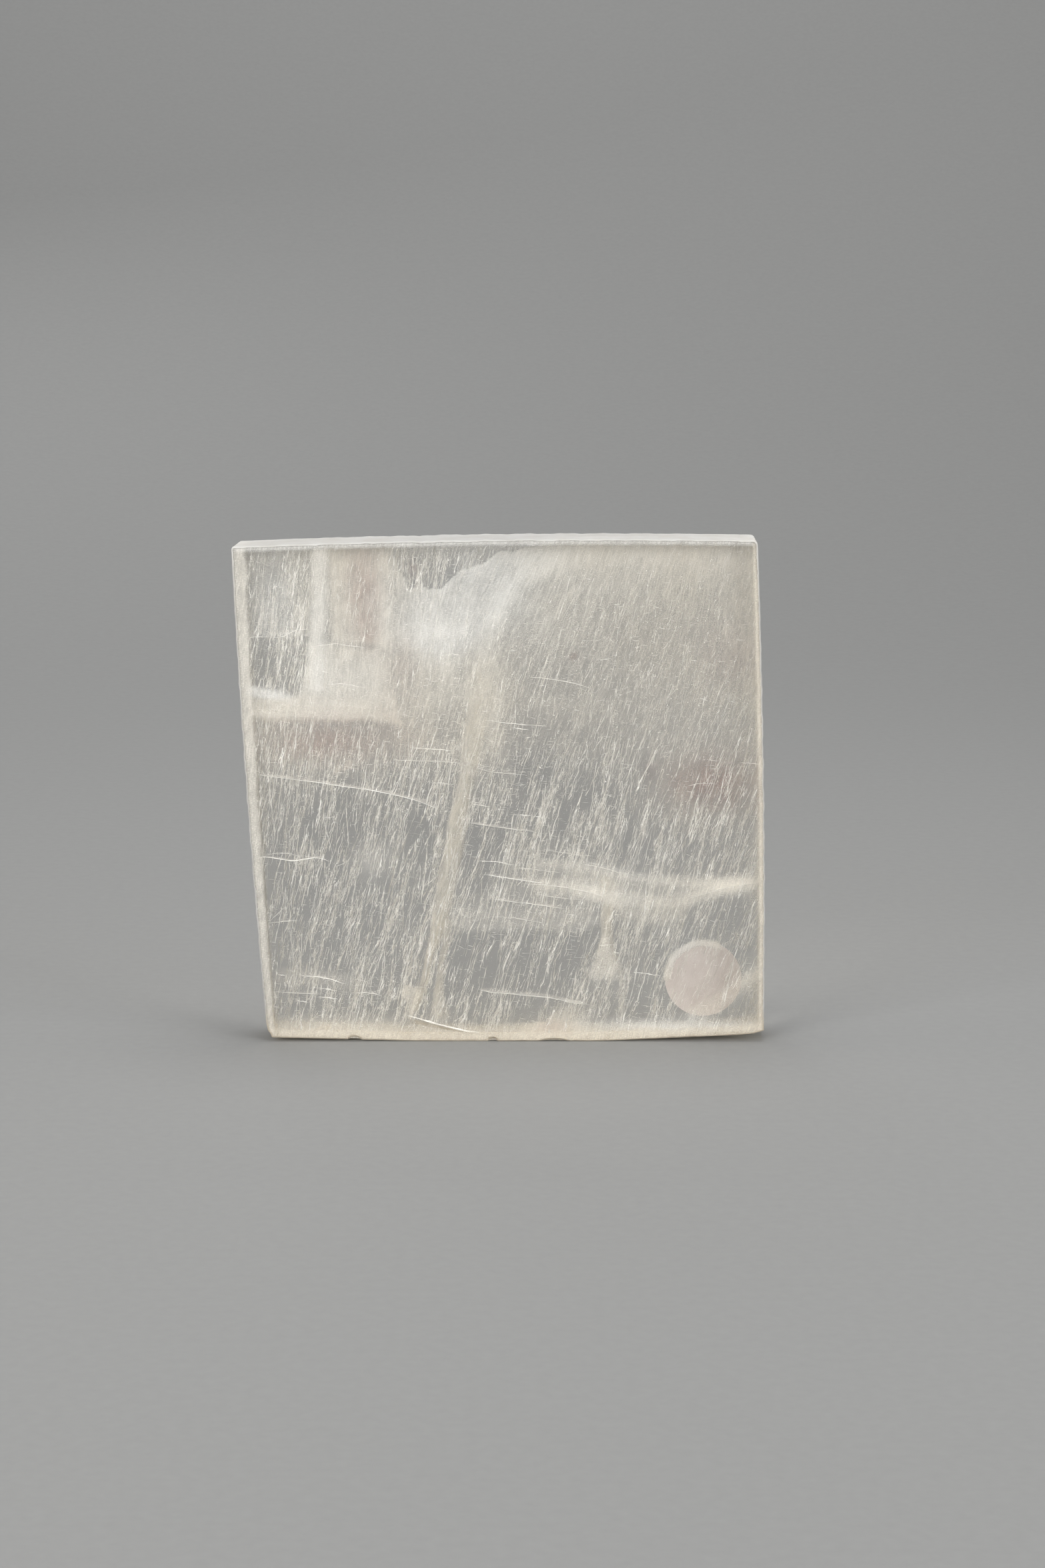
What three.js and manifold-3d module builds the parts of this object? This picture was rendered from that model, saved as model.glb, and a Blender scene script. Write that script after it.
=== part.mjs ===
// A clear selenite slab: one cleaved and sawn plate of gypsum crystal that stands on its bottom edge,
// with a small blank round paper label stuck to the back, near the lower right corner.
// Millimetres, +Z up. The front face looks towards -Y. The origin is at the bottom centre of the whole part.
// The four sides are sawn by hand, so each bows outwards a little, and the left side leans in towards the back.

import * as THREE from "three";
import { mergeVertices } from "three/addons/utils/BufferGeometryUtils.js";
import Module from "manifold-3d";

const wasm = await Module();
wasm.setup();

// ---- driving dimensions ----

const WIDTH = 130; // over the widest points of the two sides
const HEIGHT = 125; // from the rest to the crown of the top edge
const THICKNESS = 12;

const LABEL_DIAMETER = 19.05;
const LABEL_THICKNESS = 0.2;
const LABEL_X = 50.1;
const LABEL_Z = 14;

// The part's depth is the slab and the label, and the origin is in the middle of that depth.
const FRONT_Y = -(THICKNESS + LABEL_THICKNESS) / 2;
const BACK_Y = FRONT_Y + THICKNESS;

// The slab's corners on the front face, as X and Z.
const BOTTOM_LEFT = [-WIDTH / 2 + 6.8, 4.75];
const TOP_LEFT = [-WIDTH / 2, HEIGHT - 2.1];
const TOP_RIGHT = [WIDTH / 2 - 3.2, HEIGHT - 0.5];
const BOTTOM_RIGHT = [WIDTH / 2 - 0.15, 2.7];

// How far the middle of each side stands out from the straight line between its corners.
const LEFT_BOW = 0.65;
const TOP_BOW = 0.9;
const RIGHT_BOW = 0.75;
const BOTTOM_BOW = 0.04;

const REST_LEFT = -21; // the flat that the slab stands on, between these two X
const REST_RIGHT = 24;

// Both bottom corners are broken. These are the points of each break, as steps in X and Z from the corner.
const LEFT_BREAK = [
  [0.35, -1.95],
  [1.1, -3],
  [1.35, -3.85],
];
const RIGHT_BREAK = [
  [-5.8, -1.1],
  [-2.5, -0.75],
];

const TOP_LEFT_ROUND = 0.6;
const TOP_RIGHT_ROUND = 1.3;

// How far the left side leans in at the back face: at the top corner, and lower down.
const LEAN_AT_TOP = 1;
const LEAN_BELOW = 2.1;
const LEAN_FULL_BELOW_TOP = 40;
const LEAN_FADES_OVER = 8;

const ARRIS = 0.35; // the worn chamfer where a side meets a face
const OUTLINE_STEP = 3.2; // the longest straight run along a bowed side
const SAW_RIPPLE = 0.07; // unevenness of the sawn sides
const SAW_RIPPLE_PITCH = 9.5;

// Shallow shell-shaped breaks along the arrises: centre X, Y, Z and half-sizes in X, Y, Z.
const SCALLOPS = [
  { at: [13.3, FRONT_Y, -0.3], size: [4.3, 1.7, 2.7] },
  { at: [-36.4, FRONT_Y, 0.1], size: [1.9, 0.7, 1.3] },
  { at: [-2.2, FRONT_Y, -0.1], size: [1.3, 0.8, 1.2] },
  { at: [36.5, BACK_Y, 0.2], size: [3.6, 0.9, 1.5] },
  { at: [-44.2, BACK_Y, 0.1], size: [2.6, 1.1, 1.9] },
  { at: [-61.2, BACK_Y, 88.4], size: [1.6, 0.8, 3.1] },
  { at: [64.6, BACK_Y, 61.2], size: [1.1, 0.9, 2.4] },
  { at: [-21.5, BACK_Y, 124.9], size: [3.1, 0.8, 1.1] },
];

// A thin flake split off the front face above the rest: its upper edge as X and Z, and how deep the
// step is at its right end. It runs out to nothing at its left end.
const FLAKE_EDGE = [
  [-24.6, 6.3],
  [-18.4, 4.9],
  [-9.3, 2.7],
  [-3.5, 1.35],
];
const FLAKE_DEPTH = 0.45;
const FLAKE_END = 0.9; // how much further right the break reaches at the bottom than at its upper edge

// ---- outline ----

// A side from one corner to the next that stands out by bow, to the right of the way from a to b.
function bowed(a, b, bow) {
  const [from, to] = [new THREE.Vector2(...a), new THREE.Vector2(...b)];
  const along = to.clone().sub(from);
  const out = new THREE.Vector2(along.y, -along.x).normalize();
  const middle = from.clone().add(to).multiplyScalar(0.5);
  return new THREE.QuadraticBezierCurve(from, middle.addScaledVector(out, 2 * bow), to);
}

// Points along a curve, one every OUTLINE_STEP, without the last.
function stepped(curve) {
  const count = Math.max(2, Math.round(curve.getLength() / OUTLINE_STEP));
  return curve.getSpacedPoints(count).slice(0, -1);
}

// The same side with the unevenness of the saw, which is nothing at its two ends.
function sawn(curve, phase) {
  const length = curve.getLength();
  return stepped(curve).map((point, i, all) => {
    const t = i / all.length;
    const turn = (t * length) / SAW_RIPPLE_PITCH + phase;
    const wave = Math.sin(2 * Math.PI * turn) + 0.6 * Math.sin(5.3 * Math.PI * turn);
    const normal = curve.getTangent(t).rotateAround(new THREE.Vector2(), -Math.PI / 2);
    return point.addScaledVector(normal, SAW_RIPPLE * wave * Math.sin(Math.PI * t));
  });
}

// Cuts a corner where two sides meet by a small arc: the corner, and a point on the way to each side.
function rounded(before, corner, after, radius) {
  const c = new THREE.Vector2(...corner);
  const near = (p) => c.clone().add(new THREE.Vector2(...p).sub(c).setLength(radius));
  return new THREE.QuadraticBezierCurve(near(before), c, near(after)).getPoints(4);
}

// The front outline, counter-clockwise as seen from the front, in X and Z.
function frontOutline() {
  const roundRight = rounded(BOTTOM_RIGHT, TOP_RIGHT, TOP_LEFT, TOP_RIGHT_ROUND);
  const roundLeft = rounded(TOP_RIGHT, TOP_LEFT, BOTTOM_LEFT, TOP_LEFT_ROUND);
  const startOfRest = [REST_LEFT, 0];
  const endOfRest = [REST_RIGHT, 0];
  const stepsFrom = (corner, steps) => steps.map(([x, z]) => [corner[0] + x, corner[1] + z]);
  const brokenLeft = stepsFrom(BOTTOM_LEFT, LEFT_BREAK);
  const brokenRight = stepsFrom(BOTTOM_RIGHT, RIGHT_BREAK);
  const vectors = (list) => list.map((p) => new THREE.Vector2(...p));
  return [
    ...vectors(brokenLeft.slice(0, 2)),
    ...stepped(bowed(brokenLeft[2], startOfRest, 0)),
    ...vectors([startOfRest]),
    ...stepped(bowed(endOfRest, brokenRight[0], BOTTOM_BOW)),
    ...vectors(brokenRight),
    ...sawn(bowed(BOTTOM_RIGHT, roundRight[0].toArray(), RIGHT_BOW), 0.2),
    ...roundRight,
    ...sawn(bowed(roundRight.at(-1).toArray(), roundLeft[0].toArray(), TOP_BOW), 0.5).slice(1),
    ...roundLeft,
    ...sawn(bowed(roundLeft.at(-1).toArray(), BOTTOM_LEFT, LEFT_BOW), 0.8).slice(1),
    ...vectors([BOTTOM_LEFT]),
  ];
}

// The back outline has the same points, with those of the left side moved in.
function backOutline(front) {
  const middleOfLeft = (BOTTOM_LEFT[0] + TOP_LEFT[0]) / 2;
  return front.map((point) => {
    const share = THREE.MathUtils.clamp((middleOfLeft + LEAN_FADES_OVER - point.x) / LEAN_FADES_OVER, 0, 1);
    const below = THREE.MathUtils.smoothstep(TOP_LEFT[1] - point.y, 0, LEAN_FULL_BELOW_TOP);
    const lean = THREE.MathUtils.lerp(LEAN_AT_TOP, LEAN_BELOW, below);
    return new THREE.Vector2(point.x + lean * share, point.y);
  });
}

// The outline moved in by a distance, each point along the bisector of its two edges.
function inset(outline, distance) {
  return outline.map((point, i, all) => {
    const before = point.clone().sub(all.at(i - 1)).normalize();
    const after = all[(i + 1) % all.length].clone().sub(point).normalize();
    const inwards = (way) => new THREE.Vector2(-way.y, way.x);
    const bisector = inwards(before).add(inwards(after)).normalize();
    return point.clone().addScaledVector(bisector, distance / Math.max(0.6, bisector.dot(inwards(after))));
  });
}

// ---- solids ----

// A closed skin over rings of equal count, with a flat cap at each end. Each ring is { points, y }.
function lofted(rings) {
  const count = rings[0].points.length;
  const positions = rings.flatMap(({ points, y }) => points.flatMap((p) => [p.x, y, p.y]));
  const cap = THREE.ShapeUtils.triangulateShape(rings[0].points, []);
  const last = (rings.length - 1) * count;
  const index = cap.flatMap(([a, b, c]) => [a, b, c]);
  index.push(...cap.flatMap(([a, b, c]) => [last + a, last + c, last + b]));
  for (let ring = 0; ring < rings.length - 1; ring++) {
    for (let i = 0; i < count; i++) {
      const [a, b] = [ring * count + i, ring * count + ((i + 1) % count)];
      index.push(a, a + count, b, b, a + count, b + count);
    }
  }
  const geometry = new THREE.BufferGeometry();
  geometry.setAttribute("position", new THREE.Float32BufferAttribute(positions, 3));
  geometry.setIndex(index);
  return geometry;
}

// A three.js geometry as a manifold-3d solid.
function solidOf(geometry) {
  const bare = geometry.clone();
  for (const name of ["normal", "uv"]) bare.deleteAttribute(name);
  const merged = mergeVertices(bare, 1e-4);
  return new wasm.Manifold(
    new wasm.Mesh({
      numProp: 3,
      vertProperties: merged.getAttribute("position").array,
      triVerts: new Uint32Array(merged.index.array),
    }),
  );
}

// And back to a flat-shaded three.js geometry.
function geometryOf(solid) {
  const { vertProperties, triVerts } = solid.getMesh();
  const indexed = new THREE.BufferGeometry();
  indexed.setAttribute("position", new THREE.BufferAttribute(vertProperties, 3));
  indexed.setIndex(new THREE.BufferAttribute(triVerts, 1));
  const geometry = indexed.toNonIndexed();
  geometry.computeVertexNormals();
  return geometry;
}

function scallop({ at, size }) {
  return solidOf(new THREE.SphereGeometry(1, 20, 12).scale(...size).translate(...at));
}

// A wedge that takes the flake off. It starts in front of the face and reaches below the bottom, and its
// inner side is a slope that is deepest at the flake's right end and leaves the crystal at its left.
function flake() {
  const clear = 2;
  const [left, right] = [FLAKE_EDGE[0][0], FLAKE_EDGE.at(-1)[0]];
  const corners = [[left, -clear], [right + FLAKE_END, -clear], ...FLAKE_EDGE.toReversed()];
  const points = corners.map((p) => new THREE.Vector2(...p));
  const wedge = lofted([
    { points, y: FRONT_Y - clear },
    { points, y: FRONT_Y },
  ]);
  const position = wedge.getAttribute("position");
  for (let i = points.length; i < position.count; i++) {
    position.setY(i, FRONT_Y + (FLAKE_DEPTH * (position.getX(i) - left)) / (right - left));
  }
  return solidOf(wedge);
}

function slabGeometry() {
  const front = frontOutline();
  const back = backOutline(front);
  const plate = lofted([
    { points: inset(front, ARRIS), y: FRONT_Y },
    { points: front, y: FRONT_Y + ARRIS },
    { points: back, y: BACK_Y - ARRIS },
    { points: inset(back, ARRIS), y: BACK_Y },
  ]);
  const cuts = [flake(), ...SCALLOPS.map(scallop)];
  return geometryOf(cuts.reduce((solid, cut) => solid.subtract(cut), solidOf(plate)));
}

function labelGeometry() {
  const disc = new THREE.Shape();
  disc.absarc(0, 0, LABEL_DIAMETER / 2, 0, 2 * Math.PI);
  const options = { depth: LABEL_THICKNESS, bevelEnabled: false, curveSegments: 48 };
  return new THREE.ExtrudeGeometry(disc, options).rotateX(-Math.PI / 2);
}

// ---- the part ----

const crystal = new THREE.MeshStandardMaterial({ color: 0xd9d5cc, roughness: 0.12, metalness: 0 });
const paper = new THREE.MeshStandardMaterial({ color: 0xe6ddd6, roughness: 0.9, metalness: 0 });

const slab = new THREE.Mesh(slabGeometry(), crystal);
slab.name = "selenite_slab";

const label = new THREE.Mesh(labelGeometry(), paper);
label.name = "round_label";
label.position.set(LABEL_X, BACK_Y, LABEL_Z);

const part = new THREE.Group();
part.name = "selenite_slab_with_label";
part.add(slab, label);

export default part;
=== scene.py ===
"""A clear slab of selenite that stands on its sawn bottom edge.

The slab is one closed body of crystal: polished faces, frosted sawn sides, worn arrises and a few broken
spots. Inside it are the things that make selenite silky: cloudy sheets along the cleavage, fractures that
cross the thickness at a slant, bright threads where cracks end, and many thousands of fine, nearly upright
fibres. A round paper label is stuck to the back.

Lengths are in millimetres until a mesh is made. X is to the right as seen from the front, Y is from the front
face to the back face, and Z is up.
"""

import math

import bpy
import numpy as np
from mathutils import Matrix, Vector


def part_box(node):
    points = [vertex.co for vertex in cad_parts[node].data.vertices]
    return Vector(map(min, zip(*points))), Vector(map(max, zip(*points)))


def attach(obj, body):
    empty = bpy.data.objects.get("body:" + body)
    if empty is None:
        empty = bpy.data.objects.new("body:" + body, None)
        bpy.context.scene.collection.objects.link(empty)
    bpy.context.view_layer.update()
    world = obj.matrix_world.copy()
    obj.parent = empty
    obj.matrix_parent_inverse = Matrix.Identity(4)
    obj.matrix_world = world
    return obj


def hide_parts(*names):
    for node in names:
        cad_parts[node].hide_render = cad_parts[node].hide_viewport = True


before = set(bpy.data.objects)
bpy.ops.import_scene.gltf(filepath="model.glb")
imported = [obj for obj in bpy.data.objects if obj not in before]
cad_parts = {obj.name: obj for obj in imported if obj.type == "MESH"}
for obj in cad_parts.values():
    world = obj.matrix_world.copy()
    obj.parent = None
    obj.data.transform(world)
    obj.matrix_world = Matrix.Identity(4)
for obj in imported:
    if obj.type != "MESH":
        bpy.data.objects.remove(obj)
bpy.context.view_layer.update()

MM = 0.001  # metres in a millimetre

# ---- the slab's shape: its solid's, but for small differences at two of the breaks and at the flake ----

slab_low, slab_high = (np.array(corner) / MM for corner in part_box("selenite_slab"))
FRONT_Y = slab_low[1]
GLUE = 0.02  # between the back face and the label
BACK_Y = slab_high[1] - GLUE
THICKNESS = BACK_Y - FRONT_Y

WIDTH = 130.0
HEIGHT = 125.0
BOTTOM_LEFT = (-WIDTH / 2 + 6.8, 4.75)
TOP_LEFT = (-WIDTH / 2, HEIGHT - 2.1)
TOP_RIGHT = (WIDTH / 2 - 3.2, HEIGHT - 0.5)
BOTTOM_RIGHT = (WIDTH / 2 - 0.15, 2.7)
LEFT_BREAK = ((0.35, -1.95), (1.1, -3.0), (1.35, -3.85))
RIGHT_BREAK = ((-5.8, -1.1), (-2.5, -0.75))
REST_LEFT, REST_RIGHT = -21.0, 24.0
LEFT_BOW, TOP_BOW, RIGHT_BOW, BOTTOM_BOW = 0.65, 0.9, 0.75, 0.04
TOP_LEFT_ROUND, TOP_RIGHT_ROUND = 0.6, 1.3
LEAN_AT_TOP, LEAN_BELOW, LEAN_FULL_BELOW_TOP, LEAN_FADES_OVER = 1.0, 2.1, 40.0, 8.0
SAW_RIPPLE, SAW_RIPPLE_PITCH = 0.07, 9.5
ARRIS = 0.35

# Shell-shaped breaks along the arrises, as ellipsoids: centre and half-sizes.
SCALLOPS = (
    ((13.1, FRONT_Y - 0.6, -1.2), (6.2, 1.6, 2.0)),
    ((-36.4, FRONT_Y, 0.1), (1.9, 0.7, 1.3)),
    ((-2.2, FRONT_Y, -0.1), (1.3, 0.8, 1.2)),
    ((36.5, BACK_Y, 0.2), (3.6, 0.9, 1.5)),
    ((-44.2, BACK_Y, 0.1), (2.6, 1.1, 1.9)),
    ((-61.9, BACK_Y, 88.4), (0.8, 0.5, 1.6)),
    ((64.6, BACK_Y, 61.2), (1.1, 0.9, 2.4)),
    ((-21.5, BACK_Y, 124.9), (3.1, 0.8, 1.1)),
)
FLAKE_EDGE = ((-24.6, 6.3), (-18.4, 4.9), (-9.3, 2.7), (-3.5, 1.35))
FLAKE_DEPTH, FLAKE_STEP = 0.16, 0.6

OUTLINE_STEP = 0.45  # between points of the finished outline
SAW_MARK_PITCH = 1.7
FACE_RINGS, SIDE_RINGS, INNER_RINGS = 17, 15, 8  # rings of points near an arris, across a side and further in
FACE_REACH = 7.5  # how far in from the arris the faces have close rings of points
CORNER_REACH = 16.0  # how far from a corner those rings start to turn


# ---- shapes and patterns ----


def ease(t):
    """Smoothstep: 0 below 0, 1 above 1, and 3t2 - 2t3 between."""
    t = np.clip(t, 0.0, 1.0)
    return t * t * (3.0 - 2.0 * t)


def lumps(u, v, pitch, seed):
    """Smooth random values from 0 to 1: a random number at each crossing of a square net, blended by
    smoothstep."""
    size = 61
    table = np.random.default_rng(seed).random((size, size))
    u, v = np.broadcast_arrays(np.asarray(u, float) / pitch, np.asarray(v, float) / pitch)
    i, j = np.floor(u).astype(int), np.floor(v).astype(int)
    a, b = ease(u - i), ease(v - j)
    low = table[i % size, j % size] * (1 - a) + table[(i + 1) % size, j % size] * a
    high = table[i % size, (j + 1) % size] * (1 - a) + table[(i + 1) % size, (j + 1) % size] * a
    return low * (1 - b) + high * b


def along(points, count):
    """A polyline resampled to count points at equal distances along it. The points may have any number of
    axes."""
    points = np.asarray(points, float)
    way = np.r_[0.0, np.cumsum(np.linalg.norm(np.diff(points, axis=0), axis=1))]
    at = np.linspace(0.0, way[-1], count)
    return np.column_stack([np.interp(at, way, axis) for axis in points.T])


def smoothed(points, count):
    """A curve through the points: each stretch is a Catmull-Rom cubic of its two ends and their
    neighbours."""
    p = np.asarray(points, float)
    p = np.vstack([2 * p[0] - p[1], p, 2 * p[-1] - p[-2]])
    t = np.linspace(0.0, 1.0, 12, endpoint=False)[None, :, None]
    a, b, c, d = (p[k : len(p) - 3 + k, None, :] for k in range(4))
    cubic = b + 0.5 * t * (c - a + t * (2 * a - 5 * b + 4 * c - d + t * (3 * (b - c) + d - a)))
    return along(np.vstack([cubic.reshape(-1, p.shape[1]), p[-2]]), count)


def polyline_distance(points, x, z):
    """Distance from each place to a polyline in X and Z, and how far along it the nearest point is, from 0 to
    1."""
    points = np.asarray(points, float)
    lengths = np.linalg.norm(np.diff(points, axis=0), axis=1)
    starts = np.r_[0.0, np.cumsum(lengths)]
    nearest, share = np.full(np.shape(x), np.inf), np.zeros(np.shape(x))
    for (ax, az), (bx, bz), length, start in zip(points[:-1], points[1:], lengths, starts):
        t = np.clip(((x - ax) * (bx - ax) + (z - az) * (bz - az)) / length**2, 0.0, 1.0)
        distance = np.hypot(x - ax - t * (bx - ax), z - az - t * (bz - az))
        share = np.where(distance < nearest, (start + t * length) / starts[-1], share)
        nearest = np.minimum(nearest, distance)
    return nearest, share


def inside(points, x, z):
    """Signed distance to a closed polygon in X and Z, positive inside it, by the even-odd rule."""
    ring = np.vstack([points, points[:1]])
    distance, _ = polyline_distance(ring, x, z)
    within = np.zeros(np.shape(x), bool)
    for (ax, az), (bx, bz) in zip(ring[:-1], ring[1:]):
        if az != bz:
            within ^= ((az > z) != (bz > z)) & (x < (bx - ax) * (z - az) / (bz - az) + ax)
    return np.where(within, distance, -distance)


# ---- the outline ----


def bowed(a, b, bow, ripple_phase=None):
    """A side from a to b, as a quadratic curve whose middle stands out by bow to the right of the way.
    With a phase it also has the ripple of the saw: two sine waves that fade out towards both ends."""
    a, b = np.array(a), np.array(b)
    length = np.linalg.norm(b - a)
    out = np.array([b[1] - a[1], a[0] - b[0]]) / length
    t = np.linspace(0.0, 1.0, max(3, round(length / OUTLINE_STEP)))
    stand = 4 * bow * t * (1 - t)
    if ripple_phase is not None:
        turn = t * length / SAW_RIPPLE_PITCH + ripple_phase
        wave = np.sin(2 * np.pi * turn) + 0.6 * np.sin(5.3 * np.pi * turn)
        stand = stand + SAW_RIPPLE * wave * np.sin(np.pi * t)
    return a + t[:, None] * (b - a) + stand[:, None] * out


def rounded(before, corner, after, radius):
    """The small curve that cuts a corner: a quadratic from one side to the other that aims at the corner."""
    before, corner, after = np.array(before), np.array(corner), np.array(after)
    a = corner + radius * (before - corner) / np.linalg.norm(before - corner)
    b = corner + radius * (after - corner) / np.linalg.norm(after - corner)
    t = np.linspace(0.0, 1.0, 7)[:, None]
    return (1 - t) ** 2 * a + 2 * t * (1 - t) * corner + t**2 * b


def front_outline():
    """The front face's outline in X and Z, counter-clockwise as seen from the front, at equal steps."""
    left_break = np.array(BOTTOM_LEFT) + LEFT_BREAK
    right_break = np.array(BOTTOM_RIGHT) + RIGHT_BREAK
    right_round = rounded(BOTTOM_RIGHT, TOP_RIGHT, TOP_LEFT, TOP_RIGHT_ROUND)
    left_round = rounded(TOP_RIGHT, TOP_LEFT, BOTTOM_LEFT, TOP_LEFT_ROUND)
    ring = np.vstack(
        [
            [BOTTOM_LEFT],
            left_break,
            bowed(left_break[-1], (REST_LEFT, 0.0), 0.0)[1:],
            bowed((REST_RIGHT, 0.0), right_break[0], BOTTOM_BOW),
            right_break[1:],
            bowed(BOTTOM_RIGHT, right_round[0], RIGHT_BOW, 0.2),
            right_round[1:],
            bowed(right_round[-1], left_round[0], TOP_BOW, 0.5)[1:],
            left_round[1:],
            bowed(left_round[-1], BOTTOM_LEFT, LEFT_BOW, 0.8)[1:],
        ]
    )
    length = np.linalg.norm(np.diff(ring, axis=0), axis=1).sum()
    return along(ring, round(length / OUTLINE_STEP))[:-1]


def leaned(ring):
    """The back outline: the same points, with those of the left side moved in as that side leans."""
    middle_of_left = (BOTTOM_LEFT[0] + TOP_LEFT[0]) / 2
    share = np.clip((middle_of_left + LEAN_FADES_OVER - ring[:, 0]) / LEAN_FADES_OVER, 0.0, 1.0)
    below = ease((TOP_LEFT[1] - ring[:, 1]) / LEAN_FULL_BELOW_TOP)
    lean = LEAN_AT_TOP + (LEAN_BELOW - LEAN_AT_TOP) * below
    return ring + np.column_stack([lean * share, np.zeros(len(ring))])


def inwards(ring):
    """For each point, the way in that keeps rings from crossing at corners: the mean of the edge normals over
    CORNER_REACH to both sides, lengthened until it moves the point's own edge in by one."""
    edge = np.roll(ring, -1, axis=0) - np.roll(ring, 1, axis=0)
    normal = np.column_stack([-edge[:, 1], edge[:, 0]])
    normal /= np.linalg.norm(normal, axis=1)[:, None]
    reach = round(CORNER_REACH / OUTLINE_STEP)
    window = np.ones(2 * reach + 1) / (2 * reach + 1)
    wide = np.vstack([normal[-reach:], normal, normal[:reach]])
    mean = np.column_stack([np.convolve(axis, window, "valid") for axis in wide.T])
    return mean / np.maximum((mean * normal).sum(1), 0.35)[:, None]


def side_limits(z):
    """X of the left and the right side at a height, on the slab's middle plane."""
    sides = []
    for foot, head, bow in ((BOTTOM_LEFT, TOP_LEFT, -LEFT_BOW), (BOTTOM_RIGHT, TOP_RIGHT, RIGHT_BOW)):
        t = np.clip((z - foot[1]) / (head[1] - foot[1]), -0.02, 1.02)
        sides.append(foot[0] + t * (head[0] - foot[0]) + 4 * bow * t * (1 - t))
    return sides[0] + LEAN_BELOW / 2, sides[1]


def top_limit(x):
    """Z of the top side at an X."""
    t = (x - TOP_LEFT[0]) / (TOP_RIGHT[0] - TOP_LEFT[0])
    return TOP_LEFT[1] + t * (TOP_RIGHT[1] - TOP_LEFT[1]) + 4 * TOP_BOW * t * (1 - t)


def bottom_limit(x):
    """Z of the bottom side at an X."""
    left_end, right_end = BOTTOM_LEFT[0] + LEFT_BREAK[-1][0], BOTTOM_RIGHT[0] + RIGHT_BREAK[0][0]
    left_rise, right_rise = BOTTOM_LEFT[1] + LEFT_BREAK[-1][1], BOTTOM_RIGHT[1] + RIGHT_BREAK[0][1]
    beyond, raised = 3.0, 4.0
    stations = (left_end - beyond, left_end, REST_LEFT, REST_RIGHT, right_end, BOTTOM_RIGHT[0])
    return np.interp(x, stations, (raised, left_rise, 0.0, 0.0, right_rise, BOTTOM_RIGHT[1]))


def edge_depth(x, z):
    """How far in from the left, right, top and bottom sides each place is."""
    left, right = side_limits(z)
    return x - left, right - x, top_limit(x) - z, z - bottom_limit(x)


# ---- meshes ----


def placed(name, data):
    """A new object of the scene."""
    made = bpy.data.objects.new(name, data)
    bpy.context.scene.collection.objects.link(made)
    return made


def new_piece(name, points, faces, materials, slots=None, smooth=True, casts_shadow=False):
    """Puts points in millimetres and faces into a mesh in metres, kept within the slab's box, on the root
    body. What is inside the crystal passes light on as well as back, so it casts no shadow."""
    mesh = bpy.data.meshes.new(name)
    corners = np.asarray(faces)
    mesh.vertices.add(len(points))
    inside_box = np.clip(points, slab_low, slab_high)
    mesh.vertices.foreach_set("co", (inside_box * MM).astype(np.float32).ravel())
    mesh.loops.add(corners.size)
    mesh.loops.foreach_set("vertex_index", corners.astype(np.int32).ravel())
    mesh.polygons.add(len(corners))
    mesh.polygons.foreach_set("loop_start", np.arange(0, corners.size, corners.shape[1], dtype=np.int32))
    mesh.update(calc_edges=True)
    for material in materials:
        mesh.materials.append(material)
    if slots is not None:
        mesh.polygons.foreach_set("material_index", np.asarray(slots, np.int32))
    mesh.polygons.foreach_set("use_smooth", np.full(len(corners), smooth))
    mesh.validate()
    piece = placed(name, mesh)
    piece.visible_shadow = casts_shadow
    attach(piece, "root")
    return piece


VEIL_VALUES = ("cloud", "silk", "warmth", "blush")


def new_film(name, points, faces, material, grain, cloud, warmth, silk=0.0, blush=0.0):
    """A piece with what a veil's material reads: four numbers for each point, and as its UV map the grain's
    own two coordinates, in millimetres across and along the fibres."""
    piece = new_piece(name, points, faces, [material])
    for key, numbers in zip(VEIL_VALUES, (cloud, silk, warmth, blush)):
        attribute = piece.data.attributes.new(key, "FLOAT", "POINT")
        attribute.data.foreach_set("value", np.full(len(points), np.ravel(numbers), np.float32))
    corners = np.empty(len(piece.data.loops), np.int32)
    piece.data.loops.foreach_get("vertex_index", corners)
    layer = piece.data.uv_layers.new(name="grain")
    layer.data.foreach_set("uv", grain.astype(np.float32)[corners].ravel())


def columned(*axes):
    """Arrays laid flat, side by side as columns."""
    return np.column_stack([np.ravel(axis) for axis in axes])


def grid_faces(rows, columns):
    """The quads of a grid of points stored row by row."""
    index = np.arange(rows * columns).reshape(rows, columns)
    return np.stack([index[:-1, :-1], index[:-1, 1:], index[1:, 1:], index[1:, :-1]], -1).reshape(-1, 4)


def ring_faces(rings, count):
    """The quads between closed rings of count points each."""
    here = np.arange((rings - 1) * count)
    following = here + 1 - count * (here % count == count - 1)
    return np.column_stack([here, following, following + count, here + count])


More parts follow.
